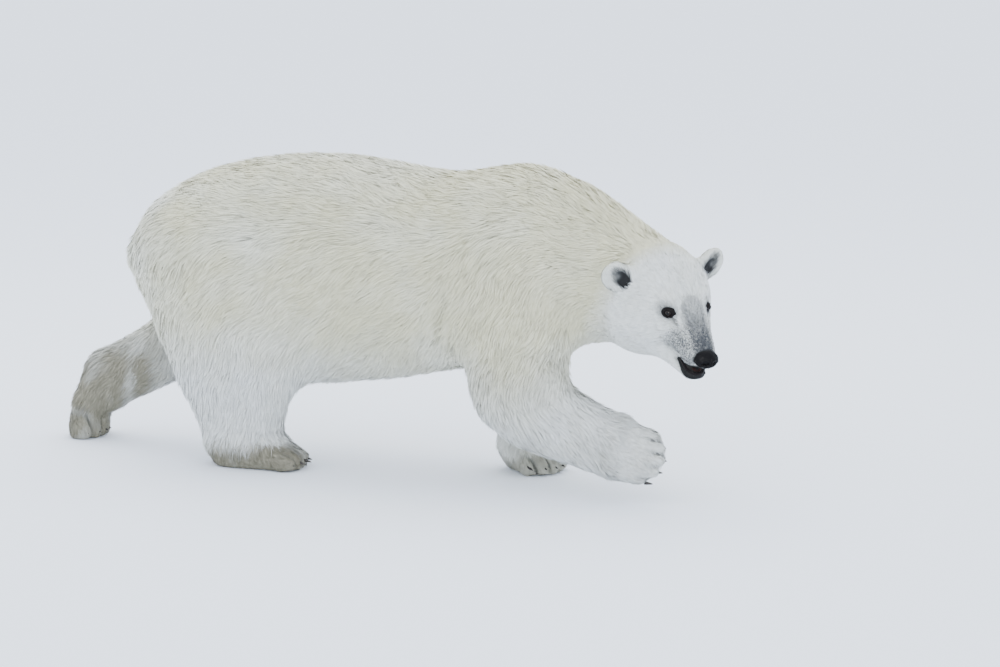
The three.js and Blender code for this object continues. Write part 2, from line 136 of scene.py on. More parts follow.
headFrame = findHead()
headTurn = np.array(headFrame.to_3x3())
headTip = np.array(headFrame.translation)


def toHead(points):
    return (points - headTip) @ headTurn


def fromHead(points):
    return np.asarray(points) @ headTurn.T + headTip


# small tools for fields over points

def smooth(value, low, high):
    t = np.clip((value - low) / (high - low), 0, 1)
    return t * t * (3 - 2 * t)


def unit(vectors):
    return vectors / np.maximum(np.linalg.norm(vectors, axis=-1, keepdims=True), 1e-9)


def spot(points, centre, size, edge=0.35):
    # 1 inside an oval, fading to 0 over the outer share of it
    reach = np.linalg.norm((points - np.array(centre)) / np.array(size), axis=1)
    return 1 - smooth(reach, 1 - edge, 1 + edge)


def alongLine(points, line):
    # Distance to a line of points, and how far along it, 0 to 1
    line = np.array(line, float)
    best = np.full(len(points), np.inf)
    place = np.zeros(len(points))
    lengths = np.linalg.norm(np.diff(line, axis=0), axis=1)
    before = np.concatenate([[0], np.cumsum(lengths)]) / lengths.sum()
    for i, (a, b) in enumerate(zip(line[:-1], line[1:])):
        t = np.clip((points - a) @ (b - a) / max(lengths[i] ** 2, 1e-12), 0, 1)
        gap = np.linalg.norm(points - a - t[:, None] * (b - a), axis=1)
        closer = gap < best
        best = np.where(closer, gap, best)
        place = np.where(closer, before[i] + t * (before[i + 1] - before[i]), place)
    return best, place


def ripple(points, size, seed):
    # Smooth noise of about this size, from -1 to 1, as a sum of waves in random directions
    rng = np.random.default_rng(seed)
    total = np.zeros(len(points))
    for _ in range(10):
        wave = rng.normal(size=3)
        wave *= 2 * math.pi / size * rng.uniform(0.5, 1.3) / np.linalg.norm(wave)
        total += np.sin(points @ wave + rng.uniform(0, 2 * math.pi))
    return total / 3.2


def newObject(name, points, faces, material=None):
    mesh = bpy.data.meshes.new(name)
    mesh.from_pydata([tuple(p) for p in points], [], faces)
    mesh.update()
    piece = bpy.data.objects.new(name, mesh)
    scene.collection.objects.link(piece)
    if material:
        mesh.materials.append(material)
    return piece


def meshPoints(mesh):
    points = np.empty(len(mesh.vertices) * 3, np.float32)
    mesh.vertices.foreach_get("co", points)
    return points.reshape(-1, 3).astype(float)


def meshTriangles(mesh):
    mesh.calc_loop_triangles()
    corners = np.empty(len(mesh.loop_triangles) * 3, np.int32)
    mesh.loop_triangles.foreach_get("vertices", corners)
    return corners.reshape(-1, 3)


def vertexNormals(points, triangles):
    a, b, c = (points[triangles[:, i]] for i in range(3))
    face = np.cross(b - a, c - a)
    normals = np.zeros_like(points)
    for axis in range(3):
        for corner in range(3):
            normals[:, axis] += np.bincount(triangles[:, corner], face[:, axis], len(points))
    return unit(normals)


def setFloats(mesh, name, values):
    layer = mesh.attributes.new(name, "FLOAT", "POINT")
    layer.data.foreach_set("value", np.asarray(values, np.float32))


def readFloats(mesh, name):
    values = np.empty(len(mesh.vertices), np.float32)
    mesh.attributes[name].data.foreach_get("value", values)
    return values.astype(float)


class Neighbours:
    # Averages of values over the vertices next to each one
    def __init__(self, mesh):
        ends = np.empty(len(mesh.edges) * 2, np.int32)
        mesh.edges.foreach_get("vertices", ends)
        ends = ends.reshape(-1, 2)
        source = np.concatenate([ends[:, 0], ends[:, 1]])
        target = np.concatenate([ends[:, 1], ends[:, 0]])
        order = np.argsort(source, kind="stable")
        self.target = target[order]
        self.starts = np.searchsorted(source[order], np.arange(len(mesh.vertices)))
        self.count = np.bincount(source, minlength=len(mesh.vertices)).astype(float)

    def mean(self, values):
        total = np.add.reduceat(values[self.target], self.starts, axis=0)
        return total / (self.count[:, None] if values.ndim > 1 else self.count)

    def spread(self, values, rounds, share=0.5):
        for _ in range(rounds):
            values = values + share * (self.mean(values) - values)
        return values


# markings: how bare, thin, warm or stained the hide is at any point, for the skin and for each tuft's root;
# painted shade goes in with them in the partings, between the toes, on the lower legs and in some stain spots

face = {
    "noseRim": ((-0.012, 0.0, -0.017), (0.031, 0.0445, 0.0335)),
    "mouth": [
        (-0.104, 0.060, -0.072), (-0.070, 0.056, -0.067), (-0.040, 0.046, -0.062), (-0.008, 0.020, -0.058),
    ],
    "lipWidth": 0.0085,
    "jawLip": {
        "back": -0.112, "front": -0.035, "rim": -0.078, "atBack": 0.006, "atFront": 0.032,
        "mouthEdge": (-0.074, -0.066),
    },
    "eyeRim": (0.0240, 0.026, 0.0190),
    "eyeShade": (0.046, 0.036, 0.030),
    "tearLine": [(-0.150, 0.066, 0.054), (-0.136, 0.060, 0.046), (-0.120, 0.052, 0.040)],
    "bridge": [(-0.030, 0.0, 0.022), (-0.090, 0.0, 0.046), (-0.150, 0.0, 0.070)],
    "bridgeEdge": [(-0.150, 0.026, 0.066), (-0.118, 0.022, 0.046), (-0.078, 0.024, 0.032)],
    "upperLip": ((-0.030, 0.036, -0.044), (0.054, 0.036, 0.038)),
    "muzzleSide": ((-0.076, 0.054, -0.016), (0.074, 0.038, 0.062)),
    "chin": ((-0.040, 0.0, -0.104), (0.036, 0.040, 0.020)),
    "earHollow": ((0.020, -0.010, -0.014), (0.026, 0.026, 0.044)),
}
# How strongly the dark skin shows at each of them; at the partings it is partly dark skin, partly painted
# shade
darkness = {
    "hollow": 0.92, "tears": 0.6, "nose": 1.02, "fade": 0.58, "muzzleSide": 0.66, "chin": 0.5, "eye": 0.55,
    "edge": 0.72, "parting": 0.75, "flecks": 0.18,
}
earPose = {"at": (-0.345, 0.180, 0.090), "turnOut": 10, "tip": -12, "lean": 42, "size": (0.036, 0.062, 0.066)}

# Partings, where the coat opens down to the hide as the body bends: lines on the right side
partings = {
    "width": 0.0080,
    "groove": 0.024,
    "lines": [
        [(0.333, -0.29, 0.667), (0.301, -0.29, 0.582), (0.258, -0.29, 0.486)],
        [(0.340, -0.29, 0.548), (0.319, -0.29, 0.507), (0.297, -0.29, 0.469)],
        [(0.694, -0.26, 0.465), (0.718, -0.26, 0.424), (0.746, -0.26, 0.376)],
        [(0.663, -0.27, 0.498), (0.684, -0.27, 0.453)],
    ],
}
# Wet and stained hair, with painted shade on the near foreleg and paw and partly on the far hind leg: place,
# size, strength
stainsAndShade = [
    ((-0.43, -0.17, 0.030), (0.24, 0.12, 0.075), 1.0),
    ((-0.30, -0.12, 0.050), (0.10, 0.10, 0.070), 0.60),
    # Far hind leg, inner side: partly stained wet hair, partly painted shade
    ((-0.86, 0.05, 0.33), (0.16, 0.10, 0.15), 0.50),
    ((-0.98, 0.05, 0.26), (0.15, 0.10, 0.15), 0.78),
    ((-1.10, 0.05, 0.18), (0.14, 0.10, 0.16), 0.92),
    ((-1.18, 0.08, 0.06), (0.12, 0.12, 0.10), 0.80),
    # Near foreleg and paw: painted shade
    ((0.62, -0.20, 0.26), (0.26, 0.16, 0.26), 0.20),
    ((0.86, -0.18, 0.14), (0.24, 0.16, 0.18), 0.26),
    ((0.47, 0.14, 0.030), (0.14, 0.14, 0.050), 0.60),
    ((0.99, -0.16, 0.060), (0.07, 0.07, 0.060), 0.25),
]
yellowing = {
    "least": 0.18, "rise": 0.95, "height": (0.20, 0.66), "body": 0.72, "ends": 0.25, "faceLoss": 0.94,
}
# Hair darker towards the floor at the soles, and painted shade on the lower legs
soleStainAndShade = {"fringe": 0.60, "fringeTop": (0.010, 0.050), "legs": 0.15, "legsTop": (0.35, 0.60)}
# Painted shade in the gaps between the toes, and darker hair about the toe tips
toeStainAndShade = {"groove": 0.85, "grooveWidth": 0.0055, "tip": 0.32, "tipReach": 0.034}


def toEar(headPoints, side):
    turn = Euler([math.radians(a) for a in (-earPose["lean"], earPose["tip"], earPose["turnOut"])], "XYZ")
    own = headPoints * np.array([1, side, 1]) - np.array(earPose["at"])
    return own @ np.array(turn.to_matrix())


def earHollow(headPoints):
    # 1 deep inside either ear
    deep = np.zeros(len(headPoints))
    centre, size = face["earHollow"]
    for side in (1, -1):
        local = toEar(headPoints, side)
        deep = np.maximum(deep, spot(local, centre, size, 0.3) * smooth(local[:, 0], 0.002, 0.012))
    return deep


def bareness(points):
    # 0 where the coat is full, 1 on bare dark skin
    own = toHead(points)
    hollow = darkness["hollow"] * smooth(earHollow(own), 0.55, 1.0)
    own[:, 1] = np.abs(own[:, 1])
    nose = spot(own, *face["noseRim"], 0.12)
    flatten = np.array([1, 0.3, 1])
    toMouth, _ = alongLine(own * flatten, np.array(face["mouth"]) * flatten)
    lips = 1 - smooth(toMouth, face["lipWidth"] * 0.5, face["lipWidth"] * 1.3)
    lip = face["jawLip"]
    forward = smooth(own[:, 0], lip["back"], lip["front"])
    bottom = lip["rim"] - lip["atBack"] - (lip["atFront"] - lip["atBack"]) * forward
    jawLip = smooth(own[:, 2], bottom - 0.004, bottom + 0.004)
    jawLip *= smooth(own[:, 0], lip["back"], lip["back"] + 0.01)
    jawLip *= 1 - smooth(own[:, 2], *lip["mouthEdge"])
    eyes = spot(own, headMarks["eye"], face["eyeRim"], 0.15)
    toTear, _ = alongLine(own, face["tearLine"])
    tears = darkness["tears"] * (1 - smooth(toTear, 0.003, 0.009))
    return np.clip(np.maximum.reduce([nose, lips, jawLip, eyes, tears, hollow]), 0, 1)


def openness(points):
    # 1 in a parting of the coat
    nearest = np.full(len(points), np.inf)
    for line in partings["lines"]:
        gap, along = alongLine(points * np.array([1, 0, 1]), np.array(line) * np.array([1, 0, 1]))
        ends = 1 - 0.8 * np.abs(2 * along - 1) ** 2
        nearest = np.minimum(nearest, gap / np.maximum(ends, 0.05))
    nearest = nearest + 0.0022 * ripple(points, 0.03, 21)
    return (1 - smooth(nearest, partings["width"] * 0.4, partings["width"] * 1.6)) * (points[:, 1] < -0.1)


def muzzleSides(foldedPoints):
    side = spot(foldedPoints, *face["muzzleSide"], 0.6)
    return np.maximum(side, spot(foldedPoints, *face["upperLip"], 0.5))


def thinness(points):
    # Where dark skin shows through the hair: the muzzle's sides and bridge, the ears and the partings, with a
    # darker band along each side of the bridge; in the partings it is partly painted shade
    own = toHead(points)
    inEar = earHollow(own)
    own[:, 1] = np.abs(own[:, 1])
    toBridge, along = alongLine(own, face["bridge"])
    uneven = 1 + 0.16 * ripple(own, 0.012, 41)
    bridge = 1 - smooth(toBridge, 0.026, 0.056)
    bridge *= (darkness["nose"] - darkness["fade"] * along ** 1.3) * uneven
    flatten = np.array([1, 1, 0.25])
    toEdge, along = alongLine(own * flatten, np.array(face["bridgeEdge"]) * flatten)
    edge = (1 - smooth(toEdge, 0.000, 0.022)) * (darkness["edge"] + 0.18 * along) * uneven * (own[:, 2] > 0)
    flank = darkness["muzzleSide"] * muzzleSides(own)
    chin = spot(own, *face["chin"], 0.4) * darkness["chin"]
    aroundEye = darkness["eye"] * spot(own, headMarks["eye"], face["eyeShade"], 0.5)
    # Partings: partly dark skin, partly painted shade
    parting = darkness["parting"] * openness(points)
    return np.clip(np.maximum.reduce([inEar, bridge, edge, flank, chin, aroundEye, parting]), 0, 1)


def specks(points):
    # Where the dark skin shows in flecks: strongly on the muzzle's sides, hardly on its bridge
    own = toHead(points)
    own[:, 1] = np.abs(own[:, 1])
    return np.clip(muzzleSides(own) + darkness["flecks"], 0, 1) * (own[:, 0] > -0.3)


def warmth(points):
    # 1 where the coat is yellowed, on the back, nape and shoulders, 0 on the lower legs and the face
    x, _, z = points.T
    high = yellowing["least"] + yellowing["rise"] * smooth(z, *yellowing["height"])
    ahead = yellowing["ends"] * (smooth(x, 0.05, 0.55) - smooth(-x, 0.50, 0.80))
    patch = 0.16 * ripple(points, 0.45, 5) + 0.08 * ripple(points, 0.16, 6)
    ofFace = smooth(toHead(points)[:, 0], -0.44, -0.30)
    return np.clip((high * (yellowing["body"] + ahead) + patch) * (1 - yellowing["faceLoss"] * ofFace), 0, 1)


def stainingAndShade(points):
    # Stains, with painted shade on the lower legs, between the toes and in some spots
    total = np.zeros(len(points))
    for centre, size, strength in stainsAndShade:
        total = np.maximum(total, strength * spot(points, centre, size, 0.5))
    fringe = soleStainAndShade["fringe"] * (1 - smooth(points[:, 2], *soleStainAndShade["fringeTop"]))
    total = np.maximum(total, fringe) * (1 + 0.22 * ripple(points, 0.07, 31))
    # Painted shade: the lower legs darker towards the floor, away from the head
    legs = soleStainAndShade["legs"] * (1 - smooth(points[:, 2], *soleStainAndShade["legsTop"]))
    legs *= toHead(points)[:, 0] < -0.5
    low = points[:, 2] < 0.45
    toes = np.zeros(len(points))
    near = points[low]
    gap, along = toeGaps(near)
    width = toeStainAndShade["grooveWidth"]
    # Painted shade in the gaps between the toes, fading towards the back of the foot
    onToes = toeStainAndShade["groove"] * (1 - along) * (1 - smooth(gap, width * 0.4, width * 1.5))
    for tip, _ in toeLines():
        gap = np.linalg.norm(near - tip, axis=1)
        onToes = np.maximum(onToes, toeStainAndShade["tip"] * (1 - smooth(gap, 0.0, toeStainAndShade["tipReach"])))
    toes[low] = onToes
    return np.clip(np.maximum(total + legs, toes), 0, 1)


# shader groups and materials

def newGroup(name, inputs, outputs):
    group = bpy.data.node_groups.new(name, "ShaderNodeTree")
    for socketName, kind, value in inputs:
        socket = group.interface.new_socket(socketName, in_out="INPUT", socket_type=kind)
        socket.default_value = value
    for socketName, kind in outputs:
        group.interface.new_socket(socketName, in_out="OUTPUT", socket_type=kind)
    enter = group.nodes.new("NodeGroupInput")
    leave = group.nodes.new("NodeGroupOutput")
    return group, enter.outputs, leave.inputs


def addNode(tree, kind, values=None, **settings):
    node = tree.nodes.new(kind)
    for key, value in settings.items():
        setattr(node, key, value)
    for key, value in (values or {}).items():
        if isinstance(value, bpy.types.NodeSocket):
            tree.links.new(value, node.inputs[key])
        else:
            node.inputs[key].default_value = value
    return node


def addNoise(tree, place, scale, detail):
    return addNode(tree, "ShaderNodeTexNoise", {"Vector": place, "Scale": scale, "Detail": detail})


def mixColour(tree, factor, a, b, blend="MIX"):
    node = addNode(tree, "ShaderNodeMix", data_type="RGBA", blend_type=blend)
    for index, value in ((0, factor), (6, a), (7, b)):
        if isinstance(value, bpy.types.NodeSocket):
            tree.links.new(value, node.inputs[index])
        else:
            node.inputs[index].default_value = value if index == 0 else (*value, 1)
    return node.outputs[2]


def maths(tree, operation, a, b=0.0, plus=0.0, clamp=False):
    node = addNode(tree, "ShaderNodeMath", {0: a, 1: b, 2: plus}, operation=operation, use_clamp=clamp)
    return node.outputs[0]


def attribute(tree, name):
    return addNode(tree, "ShaderNodeAttribute", attribute_name=name).outputs["Fac"]


hide = {
    "cream": (0.660, 0.638, 0.435),
    "white": (0.815, 0.845, 0.840),
    # root: painted shade, the hair's colour deep in the coat near the roots of the tufts
    "root": (0.58, 0.56, 0.45),
    # stain: the colour of stained hair, also used for painted shade
    "stainAndShade": (0.168, 0.154, 0.104),
    "bare": (0.006, 0.006, 0.006),
    # thin: dark skin, also used as painted shade in the partings and on tufts that dip into them
    "thin": (0.038, 0.043, 0.052),
    "fleckScale": 230.0,
    "fleckContrast": 3.6,
}


def hideGroup():
    # The markings of hide and hair, from the values stored on the mesh, with painted shade towards the roots
    # of the tufts
    group, given, result = newGroup(
        "hideMarkingsAndShade",
        [
            ("Warm", "NodeSocketFloat", 0.0), ("Bare", "NodeSocketFloat", 0.0),
            ("Thin And Shade", "NodeSocketFloat", 0.0), ("Stain And Shade", "NodeSocketFloat", 0.0),
            ("Speckle", "NodeSocketFloat", 0.0), ("Shade", "NodeSocketFloat", 0.5),
            ("Along", "NodeSocketFloat", 1.0), ("Patch Size", "NodeSocketFloat", 6.0),
        ],
        [("Color", "NodeSocketColor"), ("Bare Mask", "NodeSocketFloat")],
    )
    place = addNode(group, "ShaderNodeTexCoord").outputs["Object"]
    patches = addNoise(group, place, given["Patch Size"], 4.0)
    uneven = maths(group, "MULTIPLY_ADD", patches.outputs["Fac"], 0.5, -0.25)
    warm = maths(group, "ADD", given["Warm"], uneven, clamp=True)
    hair = mixColour(group, warm, hide["white"], hide["cream"])
    hair = mixColour(group, given["Stain And Shade"], hair, hide["stainAndShade"])
    # Painted shade: the hair darkens towards its root, at most half way to the root colour
    deep = maths(group, "SUBTRACT", 1.0, given["Along"], clamp=True)
    deep = maths(group, "MULTIPLY", deep, 0.5)
    hair = mixColour(group, deep, hair, hide["root"])
    tone = maths(group, "MULTIPLY_ADD", given["Shade"], 0.22, 0.86)
    toneColour = addNode(group, "ShaderNodeCombineColor", {"Red": tone, "Green": tone, "Blue": tone})
    hair = mixColour(group, 1.0, hair, (1, 1, 1), "MULTIPLY")
    group.links.new(toneColour.outputs[0], hair.node.inputs[7])
    speckle = addNoise(group, place, hide["fleckScale"], 4.0)
    speckle.inputs["Roughness"].default_value = 0.65
    grain = maths(group, "SUBTRACT", speckle.outputs["Fac"], 0.5)
    grain = maths(group, "MULTIPLY", grain, maths(group, "MULTIPLY", given["Speckle"], hide["fleckContrast"]))
    skin = maths(group, "ADD", given["Thin And Shade"], grain)
    within = maths(group, "MULTIPLY", given["Thin And Shade"], 3.0, clamp=True)
    skin = maths(group, "MULTIPLY", skin, within, clamp=True)
    hair = mixColour(group, skin, hair, hide["thin"])
    colour = mixColour(group, given["Bare"], hair, hide["bare"])
    group.links.new(colour, result["Color"])
    group.links.new(given["Bare"], result["Bare Mask"])
    return group


def strandGroup():
    # A fine bump of short hair, from noise at two sizes
    group, given, result = newGroup(
        "strandBump",
        [("Scale", "NodeSocketFloat", 260.0), ("Fine Scale", "NodeSocketFloat", 900.0)],
        [("Height", "NodeSocketFloat")],
    )
    place = addNode(group, "ShaderNodeTexCoord").outputs["Object"]
    broad = addNoise(group, place, given["Scale"], 5.0)
    fine = addNoise(group, place, given["Fine Scale"], 2.0)
    height = maths(group, "ADD", broad.outputs["Fac"], maths(group, "MULTIPLY", fine.outputs["Fac"], 0.4))
    group.links.new(height, result["Height"])
    return group


def newMaterial(name, values):
    material = bpy.data.materials.new(name)
    material.use_nodes = True
    tree = material.node_tree
    shader = tree.nodes["Principled BSDF"]
    for key, value in values.items():
        shader.inputs[key].default_value = value
    return material, tree, shader


def addBump(tree, shader, height, strength, distance):
    bump = addNode(tree, "ShaderNodeBump", {"Height": height, "Strength": strength, "Distance": distance})
    tree.links.new(bump.outputs["Normal"], shader.inputs["Normal"])


# Inputs of the markings group and the layers of the mesh that feed them
markLayers = {"Warm": "warm", "Bare": "bare", "Thin And Shade": "thin", "Stain And Shade": "stainAndShade", "Speckle": "speck"}


def useHide(tree, shader, alongValue=None):
    marks = addNode(tree, "ShaderNodeGroup", node_tree=groups["hide"])
    for socket, name in markLayers.items():
        tree.links.new(attribute(tree, name), marks.inputs[socket])
    if alongValue is None:
        tree.links.new(attribute(tree, "shade"), marks.inputs["Shade"])
        tree.links.new(attribute(tree, "along"), marks.inputs["Along"])
    else:
        marks.inputs["Along"].default_value = alongValue
    tree.links.new(marks.outputs["Color"], shader.inputs["Base Color"])
    return marks


def skinMaterial():
    material, tree, shader = newMaterial("skin", {"Roughness": 0.8, "Specular IOR Level": 0.12})
    # The skin takes part of the painted root shade, as if it lay deep in the coat
    marks = useHide(tree, shader, 0.3)
    gloss = maths(tree, "MULTIPLY_ADD", marks.outputs["Bare Mask"], -0.38, 0.84)
    tree.links.new(gloss, shader.inputs["Roughness"])
    strands = addNode(tree, "ShaderNodeGroup", node_tree=groups["strands"])
    addBump(tree, shader, strands.outputs["Height"], 0.7, 0.003)
    return material


def coatMaterial():
    material, tree, shader = newMaterial("coat", {"Roughness": 0.62, "Specular IOR Level": 0.3})
    useHide(tree, shader)
    shader.inputs["Sheen Weight"].default_value = 0.15
    shader.inputs["Sheen Roughness"].default_value = 0.5
    return material


def floorMaterial():
    material, tree, shader = newMaterial("floor", {"Roughness": 0.9, "Specular IOR Level": 0.1})
    place = addNode(tree, "ShaderNodeTexCoord").outputs["Object"]
    noise = addNoise(tree, place, 0.6, 3.0)
    shadeA = tuple(0.985 * c for c in studio["floor"])
    colour = mixColour(tree, noise.outputs["Fac"], shadeA, studio["floor"])
    tree.links.new(colour, shader.inputs["Base Color"])
    return material


def pebbleGroup():
    # Bare skin, pebbled and unevenly wet
    group, given, result = newGroup(
        "pebbledSkin",
        [
            ("Dark", "NodeSocketColor", (0.004, 0.004, 0.004, 1)),
            ("Light", "NodeSocketColor", (0.01, 0.01, 0.01, 1)),
            ("Pebbles", "NodeSocketFloat", 700.0), ("Blotches", "NodeSocketFloat", 80.0),
            ("Least Roughness", "NodeSocketFloat", 0.3), ("Dry Patches", "NodeSocketFloat", 0.25),
        ],
        [("Color", "NodeSocketColor"), ("Roughness", "NodeSocketFloat"), ("Height", "NodeSocketFloat")],
    )
    place = addNode(group, "ShaderNodeTexCoord").outputs["Object"]
    cells = addNode(
        group, "ShaderNodeTexVoronoi", {"Vector": place, "Scale": given["Pebbles"]}, feature="SMOOTH_F1"
    )
    noise = addNoise(group, place, given["Blotches"], 4.0)
    group.links.new(mixColour(group, noise.outputs["Fac"], given["Dark"], given["Light"]), result["Color"])
    dry = maths(group, "MULTIPLY", noise.outputs["Fac"], given["Dry Patches"])
    group.links.new(maths(group, "ADD", given["Least Roughness"], dry), result["Roughness"])
    group.links.new(cells.outputs["Distance"], result["Height"])
    return group


# Darker and lighter colour, roughness, pebbles in a metre and the strength of their bump
bareSkins = {
    "nosePad": ((0.003, 0.003, 0.0035), (0.007, 0.0065, 0.007), 0.40, 560, 0.5),
    "lidSkin": ((0.004, 0.0035, 0.0035), (0.010, 0.008, 0.008), 0.42, 900, 0.35),
    "lipSkin": ((0.004, 0.0035, 0.004), (0.012, 0.009, 0.0095), 0.34, 700, 0.4),
    "tongueSkin": ((0.012, 0.006, 0.005), (0.034, 0.014, 0.012), 0.38, 1500, 0.5),
}


def bareMaterial(name):
    dark, light, roughness, grain, strength = bareSkins[name]
    material, tree, shader = newMaterial(name, {"Roughness": roughness, "Specular IOR Level": 0.05})
    skin = addNode(tree, "ShaderNodeGroup", node_tree=groups["pebbles"])
    for socket, value in (
        ("Dark", (*dark, 1)), ("Light", (*light, 1)), ("Pebbles", grain), ("Blotches", grain * 0.12),
        ("Least Roughness", roughness - 0.12),
    ):
        skin.inputs[socket].default_value = value
    tree.links.new(skin.outputs["Color"], shader.inputs["Base Color"])
    tree.links.new(skin.outputs["Roughness"], shader.inputs["Roughness"])
    addBump(tree, shader, skin.outputs["Height"], strength, 0.0012)
    return material


def noseMaterial():
    material = bareMaterial("nosePad")
    tree = material.node_tree
    shader = tree.nodes["Principled BSDF"]
    base = shader.inputs["Base Color"].links[0].from_socket
    # Painted shade: the nostril pits darker than the rest of the pad
    base = mixColour(tree, attribute(tree, "pit"), base, (0.001, 0.001, 0.001))
    tree.links.new(base, shader.inputs["Base Color"])
    return material


eyeColours = {
    "iris": ((0.006, 0.003, 0.002), (0.015, 0.008, 0.005)),
    "pupil": (0.003, 0.003, 0.003),
    "rim": (0.006, 0.004, 0.004),
}


def eyeMaterial():
    material, tree, shader = newMaterial("eye", {"Roughness": 0.07, "Specular IOR Level": 0.15})
    iris = attribute(tree, "iris")
    place = addNode(tree, "ShaderNodeTexCoord").outputs["Object"]
    rays = addNoise(tree, place, 420.0, 4.0)
    brown = mixColour(tree, rays.outputs["Fac"], *eyeColours["iris"])
    pupil = maths(tree, "LESS_THAN", iris, 0.45)
    rim = maths(tree, "GREATER_THAN", iris, 0.80)
    colour = mixColour(tree, pupil, brown, eyeColours["pupil"])
    colour = mixColour(tree, rim, colour, eyeColours["rim"])
    tree.links.new(colour, shader.inputs["Base Color"])
    return material


def clawMaterial():
    material, tree, shader = newMaterial("claw", {"Roughness": 0.38, "Specular IOR Level": 0.25})
    along = attribute(tree, "along")
    place = addNode(tree, "ShaderNodeTexCoord").outputs["Object"]
    grain = addNoise(tree, place, 240.0, 5.0)
    worn = maths(tree, "MULTIPLY", along, grain.outputs["Fac"], clamp=True)
    colour = mixColour(tree, worn, (0.016, 0.014, 0.013), (0.10, 0.088, 0.074))
    tree.links.new(colour, shader.inputs["Base Color"])
    addBump(tree, shader, grain.outputs["Fac"], 0.3, 0.0008)
    return material


groups = {"hide": hideGroup(), "strands": strandGroup(), "pebbles": pebbleGroup()}
buildStudio()


# skin: one closed surface inside the flesh solids

# By part: coat depth, how far the surface is evened out, tuft length and width, tufts per square metre
parts = {
    "trunk": {"depth": 0.034, "soft": 0.90, "length": 0.074, "width": 0.0044, "tufts": 80000},
    "tail": {"depth": 0.012, "soft": 0.30, "length": 0.060, "width": 0.0044, "tufts": 90000},
    "neck": {"depth": 0.026, "soft": 0.80, "length": 0.058, "width": 0.0042, "tufts": 92000},
    "head": {"depth": 0.009, "soft": 0.05, "length": 0.022, "width": 0.0021, "tufts": 250000},
    "lower_jaw": {"depth": 0.005, "soft": 0.04, "length": 0.015, "width": 0.0019, "tufts": 250000},
    "ear": {"depth": 0.004, "soft": 0.04, "length": 0.022, "width": 0.0020, "tufts": 300000},
    "upper": {"depth": 0.030, "soft": 0.55, "length": 0.070, "width": 0.0044, "tufts": 82000},
    "lower": {"depth": 0.024, "soft": 0.40, "length": 0.060, "width": 0.0042, "tufts": 88000},
    "paw": {"depth": 0.011, "soft": 0.05, "length": 0.032, "width": 0.0030, "tufts": 150000},
}
skinShape = {
    "voxel": 0.009,
    "evenRounds": 75,
    "blendRounds": 40,
    "muzzleDepth": 0.0040,
    "sole": 0.003,  # coat depth at the floor, and how much more with each metre above it
    "soleRise": 0.35,
    "refine": [(-0.43, 0.26, 0.075), (-0.215, 0.12, 0.0)],  # along the head, across it, around the toes
}


def partOf(node):
    if node.startswith("leg"):
        return node.rsplit("_", 1)[1]
    return next(part for part in parts if node.startswith(part))


fleshNodes = [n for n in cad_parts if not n.startswith(("claw", "eye", "nose"))]
filledNodes = fleshNodes + ["eye_left", "eye_right", "nose"]


def gatherSolids(names):
    points = []
    triangles = []
    owner = []
    offset = 0
    for name in names:
        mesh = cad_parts[name].data
        own = meshPoints(mesh)
        corners = meshTriangles(mesh)
        points.append(own)
        triangles.append(corners + offset)
        owner.extend([name] * len(corners))
        offset += len(own)
    return np.concatenate(points), np.concatenate(triangles), owner


def buildSkin():
    points, triangles, _ = gatherSolids(filledNodes)
    rough = newObject("rough", points, triangles.tolist())
    remesh = rough.modifiers.new("remesh", "REMESH")
    remesh.mode = "VOXEL"
    remesh.voxel_size = skinShape["voxel"]
    evaluated = rough.evaluated_get(bpy.context.evaluated_depsgraph_get())
    mesh = bpy.data.meshes.new_from_object(evaluated)
    bpy.data.objects.remove(rough)
    mesh.name = "skin"
    print("skin remeshed:", len(mesh.vertices), "points")

    own, corners, owner = gatherSolids(fleshNodes)
    nearest = BVHTree.FromPolygons(own.tolist(), corners.tolist())
    points = meshPoints(mesh)
    kinds = [parts[partOf(owner[nearest.find_nearest(p)[2]])] for p in points.tolist()]
    beside = Neighbours(mesh)
    soft = beside.spread(np.array([kind["soft"] for kind in kinds]), 10)
    depth = beside.spread(np.array([kind["depth"] for kind in kinds]), skinShape["blendRounds"])
    for key in ("depth", "length", "width", "tufts"):
        values = np.array([kind[key] for kind in kinds], float)
        setFloats(mesh, key, beside.spread(values, skinShape["blendRounds"]))
    for _ in range(skinShape["evenRounds"]):
        points += soft[:, None] * (beside.mean(points) - points)
    triangles = meshTriangles(mesh)
    normals = vertexNormals(points, triangles)
    own = toHead(points)
    muzzle = smooth(own[:, 0], -0.17, -0.08) * (np.linalg.norm(own, axis=1) < 0.3)
    depth = depth * (1 - muzzle) + skinShape["muzzleDepth"] * muzzle
    depth = depth * (1 - 0.8 * bareness(points))
    depth = np.minimum(depth, skinShape["sole"] + skinShape["soleRise"] * np.maximum(points[:, 2], 0))
    points -= beside.spread(normals, 4) * depth[:, None]
    points = beside.spread(points, 2)
    mesh.vertices.foreach_set("co", points.astype(np.float32).ravel())
    mesh.update()
    return refineFace(mesh)


